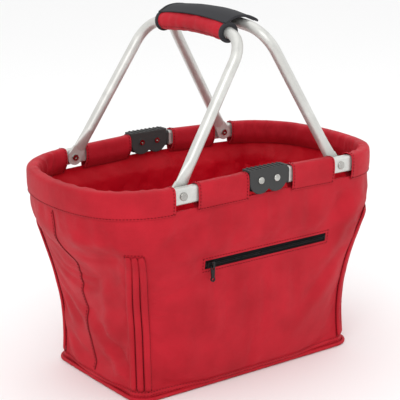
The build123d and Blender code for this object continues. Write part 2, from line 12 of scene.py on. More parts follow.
import bmesh
import bpy
from mathutils import Matrix, Vector, noise
from mathutils.bvhtree import BVHTree


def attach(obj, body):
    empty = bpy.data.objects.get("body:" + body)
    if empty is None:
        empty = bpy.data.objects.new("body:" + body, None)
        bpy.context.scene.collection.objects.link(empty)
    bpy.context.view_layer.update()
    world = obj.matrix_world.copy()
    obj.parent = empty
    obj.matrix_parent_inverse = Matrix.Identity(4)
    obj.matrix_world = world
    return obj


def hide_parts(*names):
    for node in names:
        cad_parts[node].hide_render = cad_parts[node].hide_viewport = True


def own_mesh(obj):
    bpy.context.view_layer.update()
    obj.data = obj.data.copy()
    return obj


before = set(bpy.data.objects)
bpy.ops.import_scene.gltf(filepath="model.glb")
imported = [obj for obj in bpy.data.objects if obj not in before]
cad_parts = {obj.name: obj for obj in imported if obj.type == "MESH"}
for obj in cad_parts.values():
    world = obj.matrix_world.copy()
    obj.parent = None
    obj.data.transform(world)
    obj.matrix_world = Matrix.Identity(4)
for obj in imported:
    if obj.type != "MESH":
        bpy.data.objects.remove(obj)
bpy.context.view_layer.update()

LOG = logging.getLogger("basket")
CLOTH_UV = "Cloth"
EDGE_ANGLE = 0.95
Point = tuple[float, float]
Colour = tuple[float, float, float]


class Side(Enum):
    """The two halves of the basket, each of which folds about its own hinges."""

    LEFT = -1
    RIGHT = 1

    @property
    def label(self) -> str:
        """The half's name as it is used in piece names."""
        return self.name.lower()

    @property
    def fold(self) -> str:
        """The joint that folds this half of the rim."""
        return f"rim_fold_{self.label}"


class Face(Enum):
    """The four sides of the fabric body."""

    FRONT = (0, -1)
    BACK = (0, 1)
    LEFT = (-1, 0)
    RIGHT = (1, 0)


# ------------------------------------------------------------------ small tools


def ease(low: float, high: float, value: float) -> float:
    """A smooth step from 0 at low to 1 at high."""
    share = min(1.0, max(0.0, (value - low) / (high - low)))
    return share * share * (3 - 2 * share)


def through(knots: Sequence[Sequence[float]], at: float) -> list[float]:
    """Read a smooth curve through knots.

    Args:
        knots: rows whose first number is the place and whose others are the values there.
        at: the place to read, held to the first and last knot.

    Returns:
        The values at that place, one for each column after the first.
    """
    at = min(knots[-1][0], max(knots[0][0], at))
    step = next(i for i in range(len(knots) - 1) if at <= knots[i + 1][0])
    before, low = knots[max(step - 1, 0)], knots[step]
    high, after = knots[step + 1], knots[min(step + 2, len(knots) - 1)]
    span = high[0] - low[0]
    t = (at - low[0]) / span
    values = []
    for k in range(1, len(low)):
        slope_low = (high[k] - before[k]) / (high[0] - before[0]) * span
        slope_high = (after[k] - low[k]) / (after[0] - low[0]) * span
        values.append(
            (2 * t**3 - 3 * t**2 + 1) * low[k]
            + (t**3 - 2 * t**2 + t) * slope_low
            + (3 * t**2 - 2 * t**3) * high[k]
            + (t**3 - t**2) * slope_high
        )
    return values


def loft(rows: int, columns: int, place: Callable[[int, int], Vector], ring: bool = False) -> bmesh.types.BMesh:
    """Extrude a row of points again and again, moving each new row to its place.

    Args:
        rows: how many rows the sheet has.
        columns: how many points a row has. A ring repeats its first point as its last.
        place: the position of a point, from its row and column.
        ring: join the last column to the first.

    Returns:
        The sheet, with a UV map in metres that follows its rows and columns.
    """
    bm = bmesh.new()
    uv = bm.loops.layers.uv.new(CLOTH_UV)
    across = [0.0]
    middle = rows // 2
    for c in range(1, columns):
        across.append(across[-1] + (place(middle, c) - place(middle, c - 1)).length)
    along = [0.0]
    for r in range(1, rows):
        along.append(along[-1] + (place(r, columns // 2) - place(r - 1, columns // 2)).length)
    row = [bm.verts.new(place(0, c)) for c in range(columns)]
    edges = [bm.edges.new(pair) for pair in zip(row, row[1:])]
    spots = {v: (across[c], along[0]) for c, v in enumerate(row)}
    for r in range(1, rows):
        made = bmesh.ops.extrude_edge_only(bm, edges=edges)["geom"]
        fresh = {g for g in made if isinstance(g, bmesh.types.BMVert)}
        row = [next(e.other_vert(v) for e in v.link_edges if e.other_vert(v) in fresh) for v in row]
        edges = [bm.edges.get(pair) for pair in zip(row, row[1:])]
        for c, v in enumerate(row):
            v.co = place(r, c)
            spots[v] = (across[c], along[r])
    for face in bm.faces:
        for loop in face.loops:
            loop[uv].uv = spots[loop.vert]
    if ring:
        bmesh.ops.remove_doubles(bm, verts=bm.verts, dist=1e-6)
    return bm


def face_outwards(bm: bmesh.types.BMesh, inside: Vector) -> None:
    """Turn an open sheet's faces so that they look away from a point inside it."""
    bm.normal_update()
    towards = sum((f.calc_center_median() - inside).dot(f.normal) * f.calc_area() for f in bm.faces)
    if towards < 0:
        bmesh.ops.reverse_faces(bm, faces=bm.faces)
        bm.normal_update()


def cut_half(bm: bmesh.types.BMesh, side: Side) -> bmesh.types.BMesh:
    """A copy of a mesh with only what lies on one side of the fold line."""
    half = bm.copy()
    geometry = half.verts[:] + half.edges[:] + half.faces[:]
    bmesh.ops.bisect_plane(
        half, geom=geometry, dist=1e-6, plane_co=(0, 0, 0), plane_no=(side.value, 0, 0), clear_inner=True
    )
    return half


def to_object(name: str, bm: bmesh.types.BMesh, smooth: bool = True) -> bpy.types.Object:
    """Put a bmesh in a new object at the origin and free the bmesh."""
    mesh = bpy.data.meshes.new(name)
    for f in bm.faces:
        f.smooth = smooth
    bm.to_mesh(mesh)
    bm.free()
    piece = bpy.data.objects.new(name, mesh)
    bpy.context.scene.collection.objects.link(piece)
    return piece


def thicken(piece: bpy.types.Object, thickness: float, offset: float = -1.0) -> None:
    """Give a sheet its thickness, with sharp edges where it ends."""
    wall = piece.modifiers.new("thickness", "SOLIDIFY")
    wall.thickness = thickness
    wall.offset = offset
    wall.use_even_offset = False
    bpy.context.view_layer.update()
    graph = bpy.context.evaluated_depsgraph_get()
    solid = bpy.data.meshes.new_from_object(
        piece.evaluated_get(graph), preserve_all_data_layers=True, depsgraph=graph
    )
    piece.modifiers.clear()
    piece.data = solid
    solid.set_sharp_from_angle(angle=EDGE_ANGLE)


def refine(bm: bmesh.types.BMesh, levels: int) -> bmesh.types.BMesh:
    """Subdivide and smooth a mesh, and free the one that it came from."""
    rough = to_object("rough", bm)
    smooth = rough.modifiers.new("smooth", "SUBSURF")
    smooth.levels = smooth.render_levels = levels
    bpy.context.view_layer.update()
    fine = bmesh.new()
    evaluated = rough.evaluated_get(bpy.context.evaluated_depsgraph_get())
    fine.from_mesh(evaluated.to_mesh())
    evaluated.to_mesh_clear()
    bpy.data.objects.remove(rough)
    return fine


def push(bm: bmesh.types.BMesh, distance: Callable[[Vector], float]) -> None:
    """Move every point along its normal by a distance that depends on its place."""
    bm.normal_update()
    moves = [(v, v.normal * distance(v.co)) for v in bm.verts]
    for v, move in moves:
        v.co += move


def ripple(at: Vector, size: float, seed: float) -> float:
    """Smooth noise from -1 to 1 with lumps of about a size."""
    return noise.noise(at / size + Vector((seed, seed * 1.7, -seed)))


def dress(piece: bpy.types.Object, finish: "Finish") -> bpy.types.Object:
    """Give a piece its material."""
    piece.data.materials.clear()
    piece.data.materials.append(finish.material())
    return piece


# ------------------------------------------------------------------ shape of the basket


@dataclass(frozen=True)
class RimShape:
    """Centre line of the rim tube: long sides that lean in, round corners and a bowed end."""

    height: float = 0.2824
    hinge_x: float = 0.013
    droop: float = math.radians(1.6)
    end: float = 0.235
    end_radius: float = 0.260
    end_angle: float = math.radians(15)
    corner_radius: float = 0.092
    lean: float = math.radians(2.4)
    side_share: float = 0.46
    corner_share: float = 0.36

    @property
    def corner(self) -> Point:
        """The middle of the corner's arc."""
        reach = self.end_radius - self.corner_radius
        return self.end - self.end_radius + reach * math.cos(self.end_angle), reach * math.sin(self.end_angle)

    def quarter(self, t: float, inset: float = 0.0) -> Point:
        """A point of one quarter of the line, moved in by inset.

        Args:
            t: 0 at the hinge, 1 at the middle of the end.
            inset: how far inside the tube's line the point lies.

        Returns:
            X and Y, both positive.
        """
        x, y = self.corner
        radius = self.corner_radius
        if t < self.side_share:
            end_x = x + radius * math.sin(self.lean)
            end_y = y + radius * math.cos(self.lean)
            along = end_x * t / self.side_share
            return along, end_y + (end_x - along) * math.tan(self.lean) - inset
        share = (t - self.side_share) / self.corner_share
        if share < 1:
            angle = math.pi / 2 - self.lean - share * (math.pi / 2 - self.lean - self.end_angle)
            return x + (radius - inset) * math.cos(angle), y + (radius - inset) * math.sin(angle)
        angle = self.end_angle * (1 - t) / (1 - self.side_share - self.corner_share)
        reach = self.end_radius - inset
        return self.end - self.end_radius + reach * math.cos(angle), reach * math.sin(angle)

    def level(self, x: float) -> float:
        """Height of the tube's centre line at a distance from the middle."""
        return self.height - max(0.0, abs(x) - self.hinge_x) * math.tan(self.droop)

    def share_at(self, x: float) -> float:
        """The quarter's t at which the line reaches a distance x from the middle."""
        low, high = 0.0, 1.0
        for _ in range(40):
            middle = (low + high) / 2
            low, high = (middle, high) if self.quarter(middle)[0] < x else (low, middle)
        return low


@dataclass(frozen=True)
class BodyShape:
    """Outside of the fabric body, from a boxy base to the outline of the rim."""

    rim: RimShape = RimShape()
    knots: tuple[tuple[float, float, float, float], ...] = (
        (0.000, 0.181, 0.106, 0.024),
        (0.020, 0.1795, 0.104, 0.025),
        (0.060, 0.1795, 0.103, 0.027),
        (0.095, 0.182, 0.106, 0.029),
        (0.140, 0.190, 0.115, 0.034),
        (0.180, 0.199, 0.128, 0.040),
        (0.200, 0.205, 0.135, 0.046),
        (0.225, 0.217, 0.1405, 0.064),
        (0.252, 0.230, 0.144, 0.086),
        (0.290, 0.235, 0.146, 0.090),
    )
    side_middle: tuple[Point, ...] = (
        (0.000, 0.106), (0.060, 0.115), (0.110, 0.1225), (0.160, 0.1300), (0.200, 0.1360), (0.252, 0.144),
        (0.290, 0.146),
    )
    end_middle: tuple[Point, ...] = (
        (0.000, 0.181), (0.027, 0.186), (0.060, 0.184), (0.080, 0.190), (0.114, 0.191), (0.153, 0.195),
        (0.173, 0.196), (0.188, 0.209), (0.216, 0.229), (0.241, 0.238), (0.290, 0.239),
    )
    side_power: int = 8
    end_power: int = 4
    join_from: float = 0.205
    join_to: float = 0.256
    tuck: float = 0.0185
    stand: float = 0.0045

    def top(self, u: float) -> float:
        """Height of the wall's top edge, which is tucked into the sleeves."""
        return self.rim.level(self.rim.quarter(self.local(u)[0])[0]) - self.tuck

    @staticmethod
    def local(u: float) -> tuple[float, int, int]:
        """Turn a place round the body, from 0 to 4, into a quarter's t and the signs of X and Y."""
        quarter = int(u) % 4
        t = u - int(u)
        signs = ((1, -1), (1, 1), (-1, 1), (-1, -1))[quarter]
        return (t, *signs) if quarter in (0, 2) else (1 - t, *signs)

    def point(self, u: float, height: float, inset: float = 0.0) -> Vector:
        """A point of the body's outside.

        Args:
            u: from 0 at the middle of the front, round the right end, back and left end, to 4.
            height: the point's height.
            inset: how far inside the surface it lies.

        Returns:
            The point.
        """
        t, sign_x, sign_y = self.local(u)
        half_length, half_width, corner = through(self.knots, height)
        length, width, radius = half_length - inset, half_width - inset, corner - inset
        side, share = self.rim.side_share, (t - self.rim.side_share) / self.rim.corner_share
        if t < side:
            swell = (through(self.side_middle, height)[0] - half_width) * (1 - (t / side) ** self.side_power)
            body = Vector(((length - radius) * t / side, width + swell))
        elif share < 1:
            angle = (1 - share) * math.pi / 2
            body = Vector((length - radius + radius * math.cos(angle), width - radius + radius * math.sin(angle)))
        else:
            off = (1 - t) / (1 - side - self.rim.corner_share)
            swell = (through(self.end_middle, height)[0] - half_length) * (1 - off**self.end_power)
            body = Vector((length + swell, (width - radius) * off))
        rim = Vector(self.rim.quarter(t, inset - self.stand))
        flat = body.lerp(rim, ease(self.join_from, self.join_to, height))
        return Vector((sign_x * flat.x, sign_y * flat.y, height))

    def front(self, x: float, height: float) -> Vector:
        """A point of the front at a distance along it, below where the wall joins the rim."""
        half_length, _, corner = through(self.knots, height)
        t = self.rim.side_share * abs(x) / (half_length - corner)
        return self.point(t if x >= 0 else 4 - t, height)


BODY = BodyShape()
RIM = BODY.rim


# ------------------------------------------------------------------ finishes


class Graph:
    """Short calls for the nodes of one tree."""

    def __init__(self, tree: bpy.types.NodeTree) -> None:
        """Keep the tree that the nodes go in."""
        self.tree = tree

    def add(self, kind: str, **settings: object) -> bpy.types.Node:
        """Add a node and set its properties."""
        node = self.tree.nodes.new(kind)
        for name, value in settings.items():
            setattr(node, name, value)
        return node

    def feed(self, socket: bpy.types.NodeSocket, value: object) -> None:
        """Link an output to a socket, or write a number or colour on it."""
        if isinstance(value, bpy.types.NodeSocket):
            self.tree.links.new(value, socket)
        else:
            socket.default_value = value

    def math(self, operation: str, *values: object) -> bpy.types.NodeSocket:
        """The result of a Math node."""
        node = self.add("ShaderNodeMath", operation=operation)
        for socket, value in zip(node.inputs, values):
            self.feed(socket, value)
        return node.outputs[0]

    def mix(self, share: object, first: object, second: object) -> bpy.types.NodeSocket:
        """Two colours mixed by a share."""
        node = self.add("ShaderNodeMix", data_type="RGBA")
        self.feed(node.inputs[0], share)
        self.feed(node.inputs[6], first)
        self.feed(node.inputs[7], second)
        return node.outputs[2]

    def scaled(self, vector: object, by: tuple[float, float, float]) -> bpy.types.NodeSocket:
        """A vector scaled by a Mapping node."""
        node = self.add("ShaderNodeMapping")
        self.feed(node.inputs["Vector"], vector)
        node.inputs["Scale"].default_value = by
        return node.outputs[0]

    def grain(self, vector: object, scale: object, detail: float = 3.0) -> bpy.types.NodeSocket:
        """The value of a Noise Texture node."""
        node = self.add("ShaderNodeTexNoise")
        self.feed(node.inputs["Vector"], vector)
        self.feed(node.inputs["Scale"], scale)
        node.inputs["Detail"].default_value = detail
        return node.outputs["Fac"]

    def spread(self, value: object, low: float, high: float) -> bpy.types.NodeSocket:
        """A value stretched from low..high to 0..1 and clamped."""
        node = self.add("ShaderNodeMapRange")
        self.feed(node.inputs["Value"], value)
        node.inputs["From Min"].default_value = low
        node.inputs["From Max"].default_value = high
        return node.outputs["Result"]

    def bump(self, height: object, strength: float, distance: float, onto: object = None) -> bpy.types.NodeSocket:
        """A Bump node's normal, on top of another normal if there is one."""
        node = self.add("ShaderNodeBump")
        self.feed(node.inputs["Height"], height)
        node.inputs["Strength"].default_value = strength
        node.inputs["Distance"].default_value = distance
        if onto is not None:
            self.feed(node.inputs["Normal"], onto)
        return node.outputs[0]


class Effect(Enum):
    """Shared node groups, each built once and placed in every material that needs it."""

    WEAVE = "cloth_weave"
    MOTTLE = "mottled_tone"
    MOULDING = "moulded_grain"

    def place(self, graph: Graph, **values: object) -> dict[str, bpy.types.NodeSocket]:
        """Put the group in a material's tree.

        Args:
            graph: the tree to put it in.
            values: numbers or sockets for its inputs, by name.

        Returns:
            Its outputs by name.
        """
        group = bpy.data.node_groups.get(self.value) or self._build()
        node = graph.add("ShaderNodeGroup", node_tree=group)
        for name, value in values.items():
            graph.feed(node.inputs[name], value)
        return {o.name: o for o in node.outputs}

    def _build(self) -> bpy.types.NodeTree:
        """Build the group for this effect."""
        group = bpy.data.node_groups.new(self.value, "ShaderNodeTree")
        graph = Graph(group)
        inputs, outputs, wire = {
            Effect.WEAVE: (("Vector", "Pitch"), ("Height", "Tone"), self._weave),
            Effect.MOTTLE: (("Vector", "Size"), ("Tone",), self._mottle),
            Effect.MOULDING: (("Vector", "Size"), ("Height", "Tone"), self._moulding),
        }[self]
        for name in inputs:
            kind = "NodeSocketVector" if name == "Vector" else "NodeSocketFloat"
            group.interface.new_socket(name, in_out="INPUT", socket_type=kind)
        for name in outputs:
            group.interface.new_socket(name, in_out="OUTPUT", socket_type="NodeSocketFloat")
        source = graph.add("NodeGroupInput")
        target = graph.add("NodeGroupOutput")
        for name, value in wire(graph, source).items():
            graph.feed(target.inputs[name], value)
        return group

    @staticmethod
    def _weave(graph: Graph, source: bpy.types.Node) -> dict[str, bpy.types.NodeSocket]:
        """Threads over and under each other, with a twill line on the diagonal. Its tone is partly painted shade,
        darker where the weave is low, and partly the threads' own random slub.
        """
        apart = graph.add("ShaderNodeSeparateXYZ")
        graph.feed(apart.inputs[0], source.outputs["Vector"])
        turns = graph.math("DIVIDE", 2 * math.pi, source.outputs["Pitch"])
        u = graph.math("MULTIPLY", apart.outputs[0], turns)
        v = graph.math("MULTIPLY", apart.outputs[1], turns)
        twill = graph.math("SINE", graph.math("ADD", u, v))
        threads = graph.math("MULTIPLY", graph.math("SINE", graph.math("MULTIPLY", u, 2.0)),
                             graph.math("SINE", graph.math("MULTIPLY", v, 2.0)))
        height = graph.math("MULTIPLY_ADD", twill, 0.3, graph.math("MULTIPLY_ADD", threads, 0.2, 0.5))
        slub = graph.grain(graph.scaled(source.outputs["Vector"], (60, 900, 1)), 1.0, 2.0)
        # painted shade: the tone follows the weave's height, so its hollows are painted darker; the slub adds the
        # threads' own random tone
        tone = graph.math("MULTIPLY_ADD", height, 0.6, graph.math("MULTIPLY", slub, 0.4))
        return {"Height": height, "Tone": tone}

    @staticmethod
    def _mottle(graph: Graph, source: bpy.types.Node) -> dict[str, bpy.types.NodeSocket]:
        """Soft patches of lighter and darker tone."""
        scale = graph.math("DIVIDE", 1.0, source.outputs["Size"])
        return {"Tone": graph.spread(graph.grain(source.outputs["Vector"], scale, 5.0), 0.3, 0.7)}

    @staticmethod
    def _moulding(graph: Graph, source: bpy.types.Node) -> dict[str, bpy.types.NodeSocket]:
        """The fine stipple of a moulded or blasted surface, with rubbed patches."""
        scale = graph.math("DIVIDE", 1.0, source.outputs["Size"])
        fine = graph.grain(source.outputs["Vector"], scale, 2.0)
        rubbed = graph.spread(graph.grain(source.outputs["Vector"], 45.0, 4.0), 0.45, 0.7)
        return {"Height": fine, "Tone": rubbed}


@dataclass(frozen=True)
class Finish:
    """What every finish has: the record's slot, a name and its shader's constants."""

    slot: str
    name: str
    base: Colour
    shade: Colour
    roughness: float = 0.6

    def material(self) -> bpy.types.Material:
        """The finish's material, made the first time that it is asked for."""
        found = bpy.data.materials.get(self.name)
        if found:
            return found
        made = bpy.data.materials.new(self.name)
        made.use_nodes = True
        graph = Graph(made.node_tree)
        shader = made.node_tree.nodes["Principled BSDF"]
        self.wire(graph, shader)
        return made

    def wire(self, graph: Graph, shader: bpy.types.Node) -> None:
        """Wire the shader; each kind of finish has its own way."""
        raise NotImplementedError

    @staticmethod
    def at(graph: Graph) -> bpy.types.NodeSocket:
        """Object coordinates."""
        return graph.add("ShaderNodeTexCoord").outputs["Object"]

    @property
    def colours(self) -> tuple[tuple[float, ...], tuple[float, ...]]:
        """The darker and the lighter colour, with their alpha."""
        return (*self.shade, 1.0), (*self.base, 1.0)


@dataclass(frozen=True)
class ClothFinish(Finish):
    """Woven or coated cloth whose threads follow the piece's own UV map."""

    pitch: float = 0.0018
    relief: float = 0.5
    sheen: float = 0.02
    crumple: float = 0.25
    specular: float = 0.16

    def wire(self, graph: Graph, shader: bpy.types.Node) -> None:
        """Threads whose tone is partly painted shade in their hollows, soft patches of random tone and small crumples.
        """
        sheet = graph.add("ShaderNodeUVMap", uv_map=CLOTH_UV).outputs[0]
        weave = Effect.WEAVE.place(graph, Vector=sheet, Pitch=self.pitch)
        patches = Effect.MOTTLE.place(graph, Vector=self.at(graph), Size=0.05)
        # the weave's share of this colour mix is painted shade in the weave's hollows; the patches are random tone
        share = graph.math("MULTIPLY_ADD", patches["Tone"], 0.45, graph.math("MULTIPLY", weave["Tone"], 0.55))
        dark, light = self.colours
        graph.feed(shader.inputs["Base Color"], graph.mix(graph.spread(share, 0.15, 0.8), dark, light))
        rough = graph.math("MULTIPLY_ADD", weave["Tone"], 0.12, self.roughness - 0.06)
        graph.feed(shader.inputs["Roughness"], rough)
        crumples = graph.grain(self.at(graph), 55.0, 3.0)
        soft = graph.bump(crumples, self.crumple, 0.004)
        graph.feed(shader.inputs["Normal"], graph.bump(weave["Height"], self.relief, 0.0003, soft))
        shader.inputs["Sheen Weight"].default_value = self.sheen
        shader.inputs["Sheen Roughness"].default_value = 0.45
        shader.inputs["Specular IOR Level"].default_value = self.specular


@dataclass(frozen=True)
class MetalFinish(Finish):
    """Satin or polished metal with fine drawing lines and handling marks."""

    stretch: tuple[float, float, float] = (300, 300, 300)
    coat: float = 0.0
    metallic: float = 1.0

    def wire(self, graph: Graph, shader: bpy.types.Node) -> None:
        """A fine grain in the roughness and the relief, under faint marks."""
        at = self.at(graph)
        grain = graph.grain(graph.scaled(at, self.stretch), 3.0, 4.0)
        marks = Effect.MOULDING.place(graph, Vector=at, Size=0.0006)
        dark, light = self.colours
        share = graph.spread(graph.math("MULTIPLY_ADD", grain, 0.6, graph.math("MULTIPLY", marks["Tone"], 0.3)), 0.2, 0.7)
        graph.feed(shader.inputs["Base Color"], graph.mix(share, dark, light))
        graph.feed(shader.inputs["Roughness"], graph.math("MULTIPLY_ADD", grain, 0.16, self.roughness - 0.08))
        graph.feed(shader.inputs["Normal"], graph.bump(grain, 0.06, 0.0002))
        shader.inputs["Metallic"].default_value = self.metallic
        shader.inputs["Coat Weight"].default_value = self.coat
        shader.inputs["Coat Roughness"].default_value = 0.25


@dataclass(frozen=True)
class MouldedFinish(Finish):
    """Plastic, board or foam with a fine stipple and rubbed patches."""

    size: float = 0.0007
    relief: float = 0.25
    specular: float = 0.4

    def wire(self, graph: Graph, shader: bpy.types.Node) -> None:
        """A stipple in the relief, and rubbed patches that are paler and smoother."""
        grain = Effect.MOULDING.place(graph, Vector=self.at(graph), Size=self.size)
        dark, light = self.colours
        graph.feed(shader.inputs["Base Color"], graph.mix(grain["Tone"], dark, light))
        graph.feed(shader.inputs["Roughness"], graph.math("MULTIPLY_ADD", grain["Tone"], -0.12, self.roughness + 0.04))
        graph.feed(shader.inputs["Normal"], graph.bump(grain["Height"], self.relief, 0.0002))
        shader.inputs["Specular IOR Level"].default_value = self.specular


POLYESTER = ClothFinish("red_polyester", "woven_polyester", (0.52, 0.012, 0.026), (0.34, 0.006, 0.014), 0.6)
LINING = ClothFinish("red_lining", "coated_lining", (0.56, 0.002, 0.013), (0.42, 0.001, 0.009), 0.5,
                     pitch=0.0009, relief=0.12, sheen=0.0, crumple=0.35)
POUCH = ClothFinish("red_lining", "pouch_cloth", (0.40, 0.006, 0.016), (0.30, 0.004, 0.011), 0.6, pitch=0.0009)
THREAD = ClothFinish("red_polyester", "red_thread", (0.20, 0.004, 0.009), (0.10, 0.002, 0.004), 0.6,
                     pitch=0.0008, relief=0.2, specular=0.1)
WEBBING = ClothFinish("black_webbing", "black_webbing", (0.011, 0.011, 0.012), (0.004, 0.004, 0.004), 0.82,
                      pitch=0.0022, relief=0.7, sheen=0.0, crumple=0.1, specular=0.06)
TAPE = ClothFinish("black_webbing", "zip_tape", (0.010, 0.010, 0.011), (0.004, 0.004, 0.004), 0.8,
                   pitch=0.0012, relief=0.5, sheen=0.0, crumple=0.0, specular=0.06)
ALUMINIUM = MetalFinish("anodised_aluminium", "satin_aluminium", (0.70, 0.70, 0.67), (0.56, 0.56, 0.535), 0.38,
                        metallic=0.55)
# The rivet's grain and handling marks are real, but its dark colour is painted reflection: it stands in for the dark
# reflections in the shiny domes.
RIVET = MetalFinish("rivet_metal", "rivet_steel", (0.62, 0.61, 0.58), (0.32, 0.31, 0.29), 0.16)
NYLON = MouldedFinish("black_nylon", "black_nylon", (0.013, 0.012, 0.011), (0.006, 0.006, 0.005), 0.5,
                       specular=0.22)
ZIP = MouldedFinish("zip_black", "zip_enamel", (0.012, 0.012, 0.013), (0.005, 0.005, 0.005), 0.36, size=0.0004,
                     specular=0.3)
FOAM = MouldedFinish("foam", "closed_cell_foam", (0.78, 0.78, 0.75), (0.62, 0.62, 0.60), 0.85, size=0.0012,
                     relief=0.6, specular=0.1)
BOARD = MouldedFinish("board", "stiff_board", (0.26, 0.26, 0.25), (0.19, 0.19, 0.185), 0.6)


# ------------------------------------------------------------------ stitching


@dataclass
class Stitching:
    """Rows of short raised stitches, gathered by the body and half that they belong to."""

    length: float = 0.0032
    gap: float = 0.0012
    thickness: float = 0.0011
    sewn: dict[tuple[str, str], bmesh.types.BMesh] = field(default_factory=dict)

    def run(self, name: str, key: str, line: Sequence[tuple[Vector, Vector]]) -> None:
        """Sew along a line.

        Args:
            name: the piece that the stitches are part of.
            key: what else tells its meshes apart, such as the half of the basket.
            line: points on the cloth, each with the cloth's outward normal there.
        """
        bm = self.sewn.setdefault((name, key), bmesh.new())
        pitch = self.length + self.gap
        travelled, due = 0.0, self.gap
        for (a, normal), (b, _) in zip(line, line[1:]):
            step = (b - a).length
            while step > 0 and due <= travelled + step:
                middle = a.lerp(b, (due - travelled) / step)
                self._stitch(bm, middle, (b - a).normalized(), normal)
                due += pitch
            travelled += step

    def _stitch(self, bm: bmesh.types.BMesh, at: Vector, along: Vector, normal: Vector) -> None:
        """One stitch: a small lozenge that lies along the seam."""
        across = normal.cross(along).normalized()
        up = along.cross(across)
        turn = Matrix((along, across, up)).transposed().to_4x4()
        scale = Matrix.Diagonal((self.length / 2, self.thickness / 2, self.thickness / 2.4, 1))
        bmesh.ops.create_uvsphere(
            bm, u_segments=6, v_segments=4, radius=1, matrix=Matrix.Translation(at) @ turn @ scale
        )


# ------------------------------------------------------------------ fabric body


@dataclass(frozen=True)
class Fold:
    """A soft fold in one side of the body, along a line."""

    face: Face
    start: Point
    stop: Point
    width: float
    depth: float

    def depth_at(self, across: float, height: float) -> float:
        """How far the fold moves the cloth out at a place on its side."""
        start, stop, here = Vector(self.start), Vector(self.stop), Vector((across, height))
        line = stop - start
        share = min(1.0, max(0.0, (here - start).dot(line) / line.length_squared))
        away = (here - start - line * share).length / self.width
        fade = ease(0, 0.25, share) * ease(1, 0.75, share)
        return self.depth * math.exp(-away * away) * (0.35 + 0.65 * fade)


